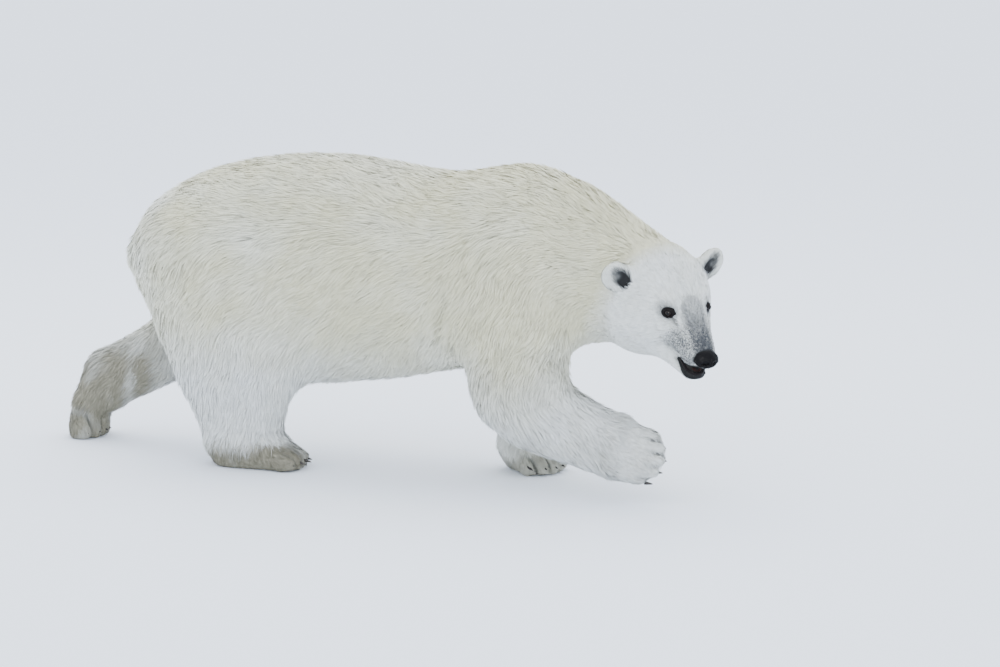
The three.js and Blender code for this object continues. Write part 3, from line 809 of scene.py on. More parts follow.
def refineFace(mesh):
    # Smaller faces on the head, finer still on the face, and on the toes
    shape = bmesh.new()
    shape.from_mesh(mesh)
    for reach, wide, toeReach in skinShape["refine"]:
        points = np.array([v.co for v in shape.verts])
        own = toHead(points)
        near = (own[:, 0] > reach) & (np.abs(own[:, 1]) < wide) & (np.abs(own[:, 2]) < 0.2)
        for start, end in toeLines():
            near |= alongLine(points, [start, end])[0] < toeReach
        shape.verts.index_update()
        chosen = [edge for edge in shape.edges if near[edge.verts[0].index] and near[edge.verts[1].index]]
        bmesh.ops.subdivide_edges(shape, edges=chosen, cuts=1, use_grid_fill=True)
        bmesh.ops.triangulate(shape, faces=[f for f in shape.faces if len(f.verts) > 4])
    shape.to_mesh(mesh)
    shape.free()
    mesh.update()
    points = meshPoints(mesh)
    own = toHead(points)
    fine = smooth(own[:, 0], -0.43, -0.38) * (np.linalg.norm(own, axis=1) < 0.55)
    beside = Neighbours(mesh)
    for _ in range(6):
        points += 0.5 * fine[:, None] * (beside.mean(points) - points)
    mesh.vertices.foreach_set("co", points.astype(np.float32).ravel())
    mesh.update()
    print("face and toes refined:", len(mesh.vertices), "points")
    return mesh


# Claws tell where the toes are: each has a root, a bend and a tip

feet = ["front_right", "front_left", "hind_right", "hind_left"]


def clawBend(name):
    points = meshPoints(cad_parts[name].data)
    foot = centreOf(name.replace("claw", "paw").rsplit("_", 1)[0])
    centre = points.mean(axis=0)
    axis = np.linalg.svd(points - centre)[2][0]
    axis = axis * np.sign(axis @ (centre - np.array(foot)))
    along = (points - centre) @ axis
    along = (along - along.min()) / (along.max() - along.min())
    return [points[part].mean(axis=0) for part in (along < 0.2, (along > 0.4) & (along < 0.8), along > 0.95)]


def toeLines():
    # From the tip of each toe back over the foot
    lines = []
    for foot in feet:
        for i in range(1, 6):
            root, _, tip = clawBend(f"claw_{foot}_{i}")
            back = unit(root - tip)
            lines.append((root, root + back * toes["length"]))
    return lines


toes = {"length": 0.065, "ahead": 0.035, "reach": 0.090, "groove": 0.0170, "grooveWidth": 0.0078}


def toeGaps(points):
    # How far each point is to the side of the nearest gap between two toes,
    # and how far back from their tips, 0 to 1
    nearest = np.full(len(points), np.inf)
    place = np.ones(len(points))
    own = toeLines()
    for foot in range(len(feet)):
        for i in range(4):
            a, b = own[5 * foot + i], own[5 * foot + i + 1]
            start, end = (a[0] + b[0]) / 2, (a[1] + b[1]) / 2
            back = unit(end - start)
            across = unit((b[0] - a[0]) - back * ((b[0] - a[0]) @ back))
            offset = points - start
            along = (offset @ back + toes["ahead"]) / (toes["length"] + toes["ahead"])
            side = np.abs(offset @ across)
            above = offset - np.outer(offset @ back, back) - np.outer(offset @ across, across)
            height = np.linalg.norm(above, axis=1)
            inside = (along > -0.2) & (along < 1) & (height < toes["reach"])
            closer = inside & (side < nearest)
            nearest = np.where(closer, side, nearest)
            place = np.where(closer, np.clip(along, 0, 1), place)
    return nearest, place


def toeHollow(points):
    # 1 in the gaps between the toes
    hollow = np.zeros(len(points))
    low = points[:, 2] < 0.45
    gap, back = toeGaps(points[low])
    hollow[low] = (1 - smooth(gap, 0.004, 0.013)) * (1 - back ** 2)
    return hollow


def sculptToes(mesh):
    points = meshPoints(mesh)
    normals = vertexNormals(points, meshTriangles(mesh))
    gap, along = toeGaps(points)
    move = toes["groove"] * np.exp(-((gap / toes["grooveWidth"]) ** 2)) * (1 - along ** 1.5)
    points -= normals * move[:, None]
    mesh.vertices.foreach_set("co", points.astype(np.float32).ravel())
    mesh.update()


# Folds and hollows of the face: place, size, how far the surface moves outwards, in the head's frame
folds = {
    "eyeHollow": ((-0.150, 0.074, 0.058), (0.032, 0.022, 0.022), -0.004),
    "brow": ((-0.188, 0.066, 0.088), (0.032, 0.026, 0.014), 0.004),
    "underEye": ((-0.160, 0.082, 0.034), (0.030, 0.022, 0.012), 0.003),
    "cheekHollow": ((-0.150, 0.070, -0.010), (0.034, 0.022, 0.026), -0.004),
    "whiskerPad": ((-0.062, 0.042, -0.030), (0.036, 0.024, 0.024), 0.004),
    "noseSide": ((-0.045, 0.034, 0.004), (0.016, 0.016, 0.018), -0.003),
    "bridgeTop": ((-0.095, 0.0, 0.048), (0.060, 0.020, 0.018), -0.003),
    "foreheadFurrow": ((-0.215, 0.0, 0.100), (0.050, 0.014, 0.030), -0.004),
    "mouthCorner": ((-0.100, 0.060, -0.070), (0.014, 0.014, 0.012), -0.005),
    "chinCrease": ((-0.090, 0.046, -0.098), (0.030, 0.016, 0.008), -0.003),
}


def sculptFace(mesh):
    points = meshPoints(mesh)
    normals = vertexNormals(points, meshTriangles(mesh))
    own = toHead(points)
    own[:, 1] = np.abs(own[:, 1])
    move = np.zeros(len(points))
    for centre, size, rise in folds.values():
        reach = np.linalg.norm((own - np.array(centre)) / np.array(size), axis=1)
        move += rise * np.exp(-0.5 * (1.6 * reach) ** 2)
    move -= partings["groove"] * openness(points)
    points += normals * move[:, None]
    mesh.vertices.foreach_set("co", points.astype(np.float32).ravel())
    mesh.update()
    print("face sculpted")


def finishSkin(mesh):
    points = meshPoints(mesh)
    marks = {"bare": bareness, "thin": thinness, "warm": warmth, "stainAndShade": stainingAndShade, "speck": specks}
    for name, mark in marks.items():
        setFloats(mesh, name, mark(points))
    mesh.materials.append(skinMaterial())
    mesh.shade_smooth()
    skin = bpy.data.objects.new("skin", mesh)
    scene.collection.objects.link(skin)
    bpy.context.view_layer.objects.active = skin
    skin.select_set(True)
    bpy.ops.object.mode_set(mode="EDIT")
    bpy.ops.mesh.select_all(action="SELECT")
    bpy.ops.uv.smart_project(angle_limit=math.radians(70), island_margin=0.002)
    bpy.ops.object.mode_set(mode="OBJECT")
    mesh.uv_layers.active.name = "OFBake"
    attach(skin, "root")
    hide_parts(*fleshNodes)
    print("skin unwrapped and placed")
    return skin


skinMesh = buildSkin()
sculptFace(skinMesh)
sculptToes(skinMesh)
skin = finishSkin(skinMesh)


# coat: tapered tufts over the skin, laid along the body

# Combs: a stroke from one point to another that lays the hair, how wide it reaches, and how it lies there
combs = [
    ("back", (0.60, 0.0, 0.98), (-0.62, 0.0, 0.92), 0.26, (-1.0, 0.0, 0.02)),
    ("flankRight", (0.35, -0.30, 0.70), (-0.50, -0.30, 0.66), 0.16, (-0.80, 0.0, -0.62)),
    ("flankLeft", (0.35, 0.30, 0.70), (-0.50, 0.30, 0.66), 0.16, (-0.80, 0.0, -0.62)),
    ("belly", (0.30, 0.0, 0.34), (-0.45, 0.0, 0.34), 0.20, (-0.45, 0.0, -0.9)),
    ("rump", (-0.74, 0.0, 0.85), (-0.74, 0.0, 0.45), 0.18, (-0.25, 0.0, -1.0)),
    ("tail", (-0.93, 0.0, 0.72), (-0.95, 0.0, 0.60), 0.08, (-0.10, 0.0, -1.0)),
    ("neck", (0.96, -0.09, 0.75), (0.60, 0.0, 0.90), 0.17, (-0.92, 0.22, -0.10)),
    ("throat", (1.00, -0.14, 0.52), (0.66, 0.0, 0.52), 0.16, (-0.70, 0.15, -0.65)),
    ("chest", (0.66, 0.0, 0.62), (0.60, 0.0, 0.42), 0.14, (-0.15, 0.0, -1.0)),
    ("shoulderRight", (0.50, -0.20, 0.78), (0.52, -0.24, 0.50), 0.15, (-0.35, 0.0, -1.0)),
    ("shoulderLeft", (0.50, 0.20, 0.78), (0.50, 0.24, 0.50), 0.15, (-0.35, 0.0, -1.0)),
    ("elbowRight", (0.47, -0.18, 0.45), (0.52, -0.18, 0.30), 0.11, (0.05, 0.0, -1.0)),
    ("forearmRight", (0.58, -0.18, 0.28), (0.90, -0.16, 0.18), 0.11, (0.75, 0.0, -0.66)),
    ("forePawRight", (0.92, -0.16, 0.15), (1.04, -0.16, 0.12), 0.09, (0.85, 0.0, -0.50)),
    ("forelegLeft", (0.48, 0.18, 0.50), (0.43, 0.17, 0.10), 0.14, (-0.10, 0.0, -1.0)),
    ("forePawLeft", (0.45, 0.15, 0.05), (0.56, 0.10, 0.03), 0.08, (0.75, -0.2, -0.62)),
    ("thighRight", (-0.58, -0.17, 0.66), (-0.50, -0.17, 0.40), 0.17, (-0.22, 0.0, -1.0)),
    ("shankRight", (-0.49, -0.15, 0.36), (-0.49, -0.12, 0.10), 0.13, (-0.12, 0.0, -1.0)),
    ("hindPawRight", (-0.45, -0.12, 0.05), (-0.28, -0.10, 0.03), 0.09, (0.80, 0.0, -0.60)),
    ("thighLeft", (-0.60, 0.17, 0.66), (-0.74, 0.16, 0.44), 0.17, (-0.40, 0.0, -0.92)),
    ("shankLeft", (-0.84, 0.15, 0.35), (-1.09, 0.12, 0.21), 0.13, (-0.62, 0.0, -0.78)),
    ("hockLeft", (-1.15, 0.12, 0.20), (-1.20, 0.12, 0.06), 0.09, (0.10, 0.0, -1.0)),
    ("hindPawLeft", (-1.20, 0.12, 0.03), (-1.12, 0.12, 0.02), 0.06, (0.80, 0.0, -0.60)),
]
# The same in the head's frame, in which left mirrors right
headCombs = [
    ("muzzle", (-0.03, 0.0, 0.0), (-0.13, 0.0, 0.04), 0.060, (-1.0, 0.10, 0.10)),
    ("muzzleSide", (-0.04, 0.05, -0.03), (-0.13, 0.07, -0.03), 0.045, (-1.0, 0.15, -0.15)),
    ("jaw", (-0.03, 0.02, -0.11), (-0.22, 0.06, -0.14), 0.055, (-1.0, 0.15, -0.25)),
    ("forehead", (-0.18, 0.02, 0.10), (-0.36, 0.04, 0.15), 0.075, (-1.0, 0.15, 0.05)),
    ("cheek", (-0.18, 0.09, 0.0), (-0.34, 0.14, -0.06), 0.085, (-1.0, 0.10, -0.40)),
    ("throatLatch", (-0.24, 0.05, -0.15), (-0.40, 0.08, -0.12), 0.080, (-1.0, 0.05, -0.30)),
]
lie = {"rounds": 26, "sway": 0.20, "swaySize": 0.16}


def layHair(points, normals, beside):
    # The direction of the hair at each point, along the skin
    way = np.zeros_like(points)
    own = toHead(points)
    side = np.where(own[:, 1] < 0, -1.0, 1.0)
    own[:, 1] = np.abs(own[:, 1])
    for _, start, end, width, direction in combs:
        gap, _ = alongLine(points, [start, end])
        way += np.exp(-((gap / width) ** 2) * 2.2)[:, None] * unit(np.array(direction)) + 1e-7
    for _, start, end, width, direction in headCombs:
        gap, _ = alongLine(own, [start, end])
        weight = 3 * np.exp(-((gap / width) ** 2) * 2.2)
        mirrored = unit(np.array(direction)) * np.stack([np.ones(len(side)), side, np.ones(len(side))], 1)
        way += weight[:, None] * (mirrored @ headTurn.T)
    way = earHair(points, way)
    for _ in range(lie["rounds"]):
        way -= normals * np.sum(way * normals, axis=1, keepdims=True)
        way = unit(way)
        way = beside.mean(way) * 0.6 + way * 0.4
    across = np.cross(normals, way)
    sway = lie["sway"] * (ripple(points, lie["swaySize"], 11) + 0.6 * ripple(points, lie["swaySize"] / 3, 12))
    way = way + across * sway[:, None]
    way -= normals * np.sum(way * normals, axis=1, keepdims=True)
    return unit(way)


def earHair(points, way):
    own = toHead(points)
    for side in (1, -1):
        local = toEar(own, side)
        weight = 6 * np.exp(-np.sum((local / np.array(earPose["size"])) ** 2, axis=1) ** 2)
        outwards = unit(own - np.array([-0.345, 0.10 * side, 0.02]))
        way += weight[:, None] * (outwards @ headTurn.T)
    return way


tuft = {
    "clumpTufts": 40,  # tufts that lean together into one lock
    "clump": 0.42,
    "roll": 0.42,
    "lengthSpread": 0.25,
    "height": 0.82,
    "heightSpread": 0.13,
    "stray": 0.11,
    "rungs": [(0.0, 0.80), (0.50, 1.0)],  # place along the tuft, share of its width
    "patch": 0.003,
}
# How much of the coat's own length, depth and width is lost here and there
shorter = {
    "muzzle": {"length": 0.62, "depth": 0.5, "width": 0.25},
    "eye": {"length": 0.55, "depth": 0.70},
    "parting": {"length": 0.5, "depth": 0.6},
    "toes": {"length": 0.6, "depth": 0.85},
    "sole": 0.003,  # greatest depth at the floor, and how much more with each metre above it
    "soleRise": 0.35,
}


def coatPieces(points, nodes):
    # The coat is divided where the parts of the body are, to keep each mesh small
    names = np.empty(len(points), object)
    for i, (point, node) in enumerate(zip(points, nodes)):
        side = "right" if point[1] < 0 else "left"
        if node == "trunk":
            level = "high" if point[2] > 0.74 else "low"
            names[i] = f"coat_trunk_{side}_{level}"
        elif node.startswith(("leg", "paw")):
            stem = "_".join(node.split("_")[1:3])
            names[i] = f"coat_leg_{stem}"
        elif node in ("head", "lower_jaw") or node.startswith("ear"):
            names[i] = f"coat_head_{'right' if toHead(point[None])[0, 1] < 0 else 'left'}"
        else:
            names[i] = f"coat_{node}"
    return names


def coatValues(mesh, points, normals, bare, thin):
    # Tuft length, width and number and coat depth at each point of the skin
    values = {key: readFloats(mesh, key) for key in ("depth", "length", "width", "tufts")}
    folded = toHead(points)
    muzzle = smooth(folded[:, 0], -0.20, -0.06) * (np.linalg.norm(folded, axis=1) < 0.3)
    folded[:, 1] = np.abs(folded[:, 1])
    marks = {
        "eye": spot(folded, headMarks["eye"], (0.050, 0.045, 0.040), 0.5),
        "parting": openness(points),
        "toes": toeHollow(points),
    }
    lost = shorter["muzzle"]
    nearFloor = shorter["sole"] + shorter["soleRise"] * np.maximum(points[:, 2], 0)
    values["length"] *= 1 - lost["length"] * muzzle
    values["depth"] = np.minimum(values["depth"] * (1 - lost["depth"] * muzzle), nearFloor)
    values["width"] *= 1 - lost["width"] * muzzle
    for key in ("length", "depth"):
        kept = 1.0
        for name, mark in marks.items():
            kept = kept * (1 - shorter[name][key] * mark)
        values[key] *= kept
    soles = smooth(-normals[:, 2], 0.75, 0.95) * (points[:, 2] < 0.03)
    values["tufts"] *= (1 - smooth(bare, 0.15, 0.6)) * (1 - 0.45 * thin) * (1 - 0.9 * soles)
    return values


def bendTufts(surface, roots, up, along, length, height):
    # Where the middle and the tip of each tuft come, over the skin they lie on
    bend = []
    dips = []
    for t, lift in ((0.5, 0.78), (1.0, 1.0)):
        aim = roots + along * (length * t)[:, None]
        landed = np.empty_like(aim)
        outward = np.empty_like(aim)
        for i, p in enumerate(aim.tolist()):
            place, facing, _, _ = surface.find_nearest(p)
            landed[i] = place
            outward[i] = facing
        outward = unit(outward + up)
        dip = np.maximum(openness(landed), 0.8 * toeHollow(landed))
        dips.append(dip)
        bend.append(landed + outward * (height * lift * (1 - 0.95 * dip))[:, None])
    return *bend, *dips, outward


def gatherLocks(rng, roots, along, middle, tip, tipUp):
    # Tufts lean towards the leader of their lock, and take a shade from it
    leaders = rng.choice(len(roots), max(len(roots) // tuft["clumpTufts"], 1), replace=False)
    tree = KDTree(len(leaders))
    for i, one in enumerate(leaders):
        tree.insert(roots[one], i)
    tree.balance()
    leader = leaders[np.array([tree.find(p)[1] for p in roots.tolist()])]
    pull = tuft["clump"] * rng.uniform(0.5, 1.3, len(roots))
    pull *= np.sum(along[leader] * along, axis=1) > 0.5
    gather = tip[leader] - tip
    gather -= tipUp * np.sum(gather * tipUp, axis=1, keepdims=True)
    tip = tip + gather * pull[:, None]
    middle = middle + gather * (pull * 0.3)[:, None]
    tip[:, 2] = np.maximum(tip[:, 2], 0.0006)
    middle[:, 2] = np.maximum(middle[:, 2], 0.0008)
    ofLock = rng.uniform(0, 1, len(roots))[leader]
    shade = 0.5 * ofLock + 0.5 * rng.uniform(0, 1, len(roots))
    return middle, tip, shade


def buildCoat(skin):
    mesh = skin.data
    points = meshPoints(mesh)
    triangles = meshTriangles(mesh)
    normals = vertexNormals(points, triangles)
    beside = Neighbours(mesh)
    way = layHair(points, beside.spread(normals, 3), beside)
    loops = np.empty(len(mesh.loop_triangles) * 3, np.int32)
    mesh.loop_triangles.foreach_get("loops", loops)
    uv = np.empty(len(mesh.loops) * 2, np.float32)
    mesh.uv_layers["OFBake"].uv.foreach_get("vector", uv)
    uv = uv.reshape(-1, 2)[loops.reshape(-1, 3)]

    own, corners, owner = gatherSolids(fleshNodes)
    nearest = BVHTree.FromPolygons(own.tolist(), corners.tolist())
    nodes = [owner[nearest.find_nearest(p)[2]] for p in points.tolist()]
    bare = bareness(points)
    thin = thinness(points)
    values = coatValues(mesh, points, normals, bare, thin)
    print("hair laid")

    a, b, c = (points[triangles[:, i]] for i in range(3))
    area = np.linalg.norm(np.cross(b - a, c - a), axis=1) / 2
    expected = area * values["tufts"][triangles].mean(axis=1)
    rng = np.random.default_rng(7)
    thinning = 1.0
    count = rng.poisson(expected * thinning)
    chosen = np.repeat(np.arange(len(triangles)), count)
    share = rng.dirichlet((1, 1, 1), len(chosen))
    corner = triangles[chosen]

    def at(array):
        return np.einsum("nk,nk...->n...", share, array[corner])

    def spread(low, high, base, amount):
        return np.clip(base + amount * rng.normal(size=len(roots)), low, high)

    roots = at(points)
    up = unit(at(normals))
    along = at(way)
    along = unit(along - up * np.sum(along * up, axis=1, keepdims=True))
    along = unit(along + tuft["stray"] * rng.normal(size=along.shape))
    length = at(values["length"]) * spread(0.4, 1.8, 1, tuft["lengthSpread"])
    height = at(values["depth"]) * spread(0.25, 1.12, tuft["height"], tuft["heightSpread"])
    height = np.minimum(height, length * 0.8)
    width = at(values["width"]) * rng.uniform(0.7, 1.3, len(roots))
    print("tufts rooted:", len(roots))

    surface = BVHTree.FromPolygons(points.tolist(), triangles.tolist())
    middle, tip, dipShadeMiddle, dipShadeTip, tipUp = bendTufts(surface, roots, up, along, length, height)
    middle, tip, shade = gatherLocks(rng, roots, along, middle, tip, tipUp)
    print("tufts gathered into locks")

    names = coatPieces(points[corner[:, 0]], [nodes[i] for i in corner[:, 0]])
    sets = {
        "roots": roots, "middle": middle, "tip": tip, "up": up, "tipUp": tipUp, "width": width,
        "shade": shade, "uv": np.einsum("nk,nkd->nd", share, uv[chosen]),
        "bare": at(bare), "thin": at(thin), "speck": specks(roots),
        "warm": warmth(roots), "stainAndShade": stainingAndShade(roots), "dipShadeMiddle": dipShadeMiddle, "dipShadeTip": dipShadeTip,
        "roll": rng.normal(size=len(roots)) * tuft["roll"],
        "turn": rng.uniform(0, 2 * math.pi, len(roots)),
    }
    material = coatMaterial()
    total = 0
    for name in sorted(set(names)):
        members = names == name
        piece = buildTufts(name, {key: value[members] for key, value in sets.items()}, material)
        total += len(piece.data.polygons)
        print(name, members.sum(), "tufts,", len(piece.data.polygons), "triangles")
    print("coat:", total, "triangles")


def buildTufts(name, own, material):
    # Each tuft is a tapering strip of rungs that ends in a point
    count = len(own["roots"])
    rungs = tuft["rungs"]
    start, middle, tip = own["roots"], own["middle"], own["tip"]
    control = 2 * middle - (start + tip) / 2
    size = 2 * len(rungs) + 1
    points = np.empty((count, size, 3))
    normals = np.empty((count, size, 3))
    places = np.empty((count, size))
    for rung, (t, share) in enumerate(rungs + [(1.0, 0.0)]):
        centre = (1 - t) ** 2 * start + 2 * t * (1 - t) * control + t * t * tip
        heading = unit(2 * (1 - t) * (control - start) + 2 * t * (tip - control))
        up = unit(own["up"] * (1 - t) + own["tipUp"] * t)
        side = unit(np.cross(up, heading))
        rise = unit(np.cross(heading, side))
        cosine = np.cos(own["roll"])[:, None]
        sine = np.sin(own["roll"])[:, None]
        tilted = side * cosine + rise * sine
        facing = rise * cosine - side * sine
        half = (own["width"] * share / 2)[:, None]
        shading = unit(facing * 0.30 + up * 0.85)
        if share == 0:
            points[:, -1] = centre
            normals[:, -1] = shading
            places[:, -1] = 1
        else:
            points[:, 2 * rung] = centre - tilted * half
            points[:, 2 * rung + 1] = centre + tilted * half
            normals[:, 2 * rung] = unit(shading - tilted * 0.2)
            normals[:, 2 * rung + 1] = unit(shading + tilted * 0.2)
            places[:, 2 * rung: 2 * rung + 2] = t
    points[..., 2] = np.maximum(points[..., 2], 0.0004)

    pattern = []
    for rung in range(len(rungs) - 1):
        a = 2 * rung
        pattern += [(a, a + 3, a + 1), (a, a + 2, a + 3)]
    pattern.append((size - 3, size - 1, size - 2))
    pattern = np.array(pattern)
    triangles = (np.arange(count) * size)[:, None, None] + pattern[None]
    triangles = triangles.reshape(-1, 3)

    mesh = bpy.data.meshes.new(name)
    mesh.vertices.add(count * size)
    mesh.vertices.foreach_set("co", points.astype(np.float32).ravel())
    mesh.loops.add(len(triangles) * 3)
    mesh.loops.foreach_set("vertex_index", triangles.astype(np.int32).ravel())
    mesh.polygons.add(len(triangles))
    mesh.polygons.foreach_set("loop_start", np.arange(0, len(triangles) * 3, 3, dtype=np.int32))
    mesh.update(calc_edges=True)
    mesh.polygons.foreach_set("use_smooth", np.ones(len(triangles), bool))
    for key in ("shade", "bare", "warm", "stainAndShade", "speck"):
        setFloats(mesh, key, np.repeat(own[key], size))
    # Painted shade: tufts that dip into a parting or a gap between the toes darken towards their middle and
    # tip
    dark = np.stack([own["thin"], 0.8 * own["dipShadeMiddle"], 0.8 * own["dipShadeTip"]])
    dark = np.maximum(dark, dark[:1]).T
    setFloats(mesh, "thin", np.repeat(dark, [2] * len(rungs) + [1], axis=1).ravel())
    setFloats(mesh, "along", places.ravel())

    # A small square of the skin's own unwrap for each tuft
    spin = own["turn"]
    lengthways = np.stack([np.cos(spin), np.sin(spin)], 1)
    sideways = np.stack([-np.sin(spin), np.cos(spin)], 1)
    t = places[..., None] - 0.5
    lean = np.where(np.arange(size) % 2 == 0, -0.5, 0.5)
    lean[-1] = 0
    patch = t * lengthways[:, None] + lean[None, :, None] * sideways[:, None]
    patch = own["uv"][:, None] + tuft["patch"] * patch
    layer = mesh.uv_layers.new(name="OFBake")
    layer.uv.foreach_set("vector", patch.reshape(-1, 2)[triangles.ravel()].astype(np.float32).ravel())
    mesh.normals_split_custom_set_from_vertices(normals.reshape(-1, 3).astype(np.float32))
    mesh.materials.append(material)
    piece = bpy.data.objects.new(name, mesh)
    scene.collection.objects.link(piece)
    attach(piece, "root")
    return piece


buildCoat(skin)


# eyes: each ball sits behind lids of bare dark skin

eyes = {
    "radius": 0.0138,
    "inset": 0.0015,
    "gaze": (0.66, 0.74, 0.14),
    "cornea": 0.0012,
    "lid": {
        "half": (0.0128, 0.0090), "outer": (0.0265, 0.0180), "tilt": -20, "bulge": 0.0022,
        "around": 48, "across": 7, "thick": 0.0012,
    },
}


def sphereGrid(rows, columns):
    # Directions over a sphere about x, with the pole at the front, and the faces between them
    points = [(1, 0, 0)]
    for i in range(1, rows):
        away = math.pi * i / rows
        for j in range(columns):
            turn = 2 * math.pi * j / columns
            ring = math.sin(away)
            points.append((math.cos(away), ring * math.cos(turn), ring * math.sin(turn)))
    points.append((-1, 0, 0))
    last = len(points) - 1
    faces = []
    for j in range(columns):
        k = (j + 1) % columns
        faces.append((0, 1 + j, 1 + k))
        faces.append((last, last - columns + k, last - columns + j))
    for i in range(rows - 2):
        start = 1 + i * columns
        for j in range(columns):
            k = (j + 1) % columns
            faces.append((start + j, start + columns + j, start + columns + k, start + k))
    return np.array(points), faces


def placePiece(name, points, faces, material, nodes):
    piece = newObject(name, points, faces, material)
    piece.data.shade_smooth()
    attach(piece, "root")
    if nodes:
        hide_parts(*nodes)
    return piece


def eyeFrame(side):
    # Centre of the eyeball and its own axes: the way it looks, across to the outer corner, and up
    look = unit(np.array(eyes["gaze"])) * np.array([1, side, 1])
    across = unit(np.cross(np.array([0, 0, 1]) * side, look))
    rise = np.cross(look, across) * side
    centre = np.array(headMarks["eye"]) * np.array([1, side, 1]) - look * eyes["inset"]
    return centre, look, across, rise


def makeEye(name, side, material):
    centre, look, across, rise = eyeFrame(side)
    directions, faces = sphereGrid(40, 48)
    radius = eyes["radius"] + eyes["cornea"] * smooth(directions[:, 0], 0.80, 1.0)
    ball = directions * radius[:, None]
    points = centre + ball[:, :1] * look + ball[:, 1:2] * across + ball[:, 2:] * rise
    if side > 0:
        faces = [face[::-1] for face in faces]
    piece = placePiece(f"eyeball_{name}", fromHead(points), faces, material, [f"eye_{name}"])
    away = np.arccos(np.clip(directions[:, 0], -1, 1))
    setFloats(piece.data, "iris", away / math.radians(42))
    return piece


def makeLids(name, side, surface, material):
    # A ring of skin from the almond opening on the ball out to the face, thickest at its rim
    lid = eyes["lid"]
    centre, look, across, rise = eyeFrame(side)
    tilt = math.radians(lid["tilt"])
    axisA = across * math.cos(tilt) + rise * math.sin(tilt)
    axisB = -across * math.sin(tilt) + rise * math.cos(tilt)
    points = []
    for ring in range(lid["across"]):
        t = ring / (lid["across"] - 1)
        for step in range(lid["around"]):
            turn = 2 * math.pi * step / lid["around"]
            a, b = math.cos(turn), math.sin(turn)
            almond = b * (1 - 0.30 * a * a)  # pointed towards both corners
            inner = np.array([lid["half"][0] * a, lid["half"][1] * almond])
            outer = np.array([lid["outer"][0] * a, lid["outer"][1] * b])
            flat = inner + (outer - inner) * t
            spread = centre + axisA * flat[0] + axisB * flat[1]
            direction = unit(spread + look * eyes["radius"] * 0.5 - centre)
            onBall = centre + direction * (eyes["radius"] + 0.0007)
            start = fromHead((spread + look * 0.05)[None])[0]
            hit, _, _, _ = surface.ray_cast(Vector(start), Vector(-(look @ headTurn.T)))
            onFace = toHead(np.array(hit)[None])[0] if hit is not None else spread + look * 0.006
            onFace = onFace - look * 0.0022 * smooth(t, 0.7, 1.0)
            mixed = onBall + (onFace - onBall) * smooth(t, 0.0, 0.75)
            mixed = mixed + look * lid["bulge"] * math.sin(math.pi * min(t * 1.5, 1))
            points.append(mixed)
    faces = []
    n = lid["around"]
    for ring in range(lid["across"] - 1):
        for step in range(n):
            k = (step + 1) % n
            corners = (ring * n + step, ring * n + k, (ring + 1) * n + k, (ring + 1) * n + step)
            faces.append(corners[::-1] if side < 0 else corners)
    piece = placePiece(f"eyelids_{name}", fromHead(points), faces, material, [])
    solid = piece.modifiers.new("thickness", "SOLIDIFY")
    solid.thickness = lid["thick"]
    solid.offset = -1
    bakeModifiers(piece)
    return piece


def bakeModifiers(piece):
    evaluated = piece.evaluated_get(bpy.context.evaluated_depsgraph_get())
    mesh = bpy.data.meshes.new_from_object(evaluated)
    piece.modifiers.clear()
    piece.data = mesh


# nose: a pad with two comma-shaped nostrils and a groove between them, pebbled and moist

nosePad = {
    "at": (-0.008, 0.0, -0.018),
    "half": (0.0305, 0.0425, 0.0310),
    "nostril": [(0.012, 0.0130, 0.004), (0.008, 0.0210, 0.006), (0.000, 0.0300, -0.002)],
    "nostrilWidth": 0.0062,
    "nostrilDepth": 0.0125,
    "groove": 0.0035,
}


def makeNose(material):
    directions, faces = sphereGrid(72, 96)
    shape = np.sign(directions) * np.abs(directions) ** 0.86  # a little squarer than an oval
    points = shape / np.linalg.norm(shape, axis=1)[:, None] ** 0.6
    x, y, z = (points * np.array(nosePad["half"])).T
    lower = smooth(-z, 0.0, nosePad["half"][2])
    y = y * (1 - 0.32 * lower)
    x = x - 0.006 * smooth(z, 0.008, nosePad["half"][2]) - 0.004 * lower
    own = np.stack([x, y, z], 1)
    folded = own.copy()
    folded[:, 1] = np.abs(folded[:, 1])
    line = np.array(nosePad["nostril"]) + np.array([0.014, 0, 0])
    gap, along = alongLine(folded * np.array([0.35, 1, 1]), line * np.array([0.35, 1, 1]))
    width = nosePad["nostrilWidth"] * (1 - 0.45 * along)
    pit = np.exp(-((gap / width) ** 2) * 1.3) * (x > -0.006)
    wing = np.exp(-(((gap - width * 1.9) / (width * 0.8)) ** 2)) * (x > -0.004)
    middle = np.exp(-((y / 0.0022) ** 2)) * smooth(x, 0.0, 0.012) * (1 - smooth(z, 0.012, 0.024))
    inward = unit(own)
    own = own - inward * (pit * nosePad["nostrilDepth"] + middle * nosePad["groove"] - wing * 0.0012)[:, None]
    pebble = ripple(own, 0.0036, 41) * 0.00022 + ripple(own, 0.011, 42) * 0.0004
    own = own + inward * pebble[:, None]
    piece = placePiece("nose_pad", fromHead(own + np.array(nosePad["at"])), faces, material, ["nose"])
    setFloats(piece.data, "pit", pit)
    return piece


# lips: a dark rim along the upper and the lower jaw, and the tongue between them

lips = {
    "corner": (-0.098, -0.070),
    "centre": -0.080,
    "sweep": 236,  # degrees around the muzzle, from corner to corner
    "thick": 0.0036,
    # slope towards the front, height over the corner, height of the bead
    "rims": {"upper": (0.136, 0.003, 0.0036), "lower": (-0.136, -0.005, 0.0060)},
    "steps": 40,
    "around": 10,
}


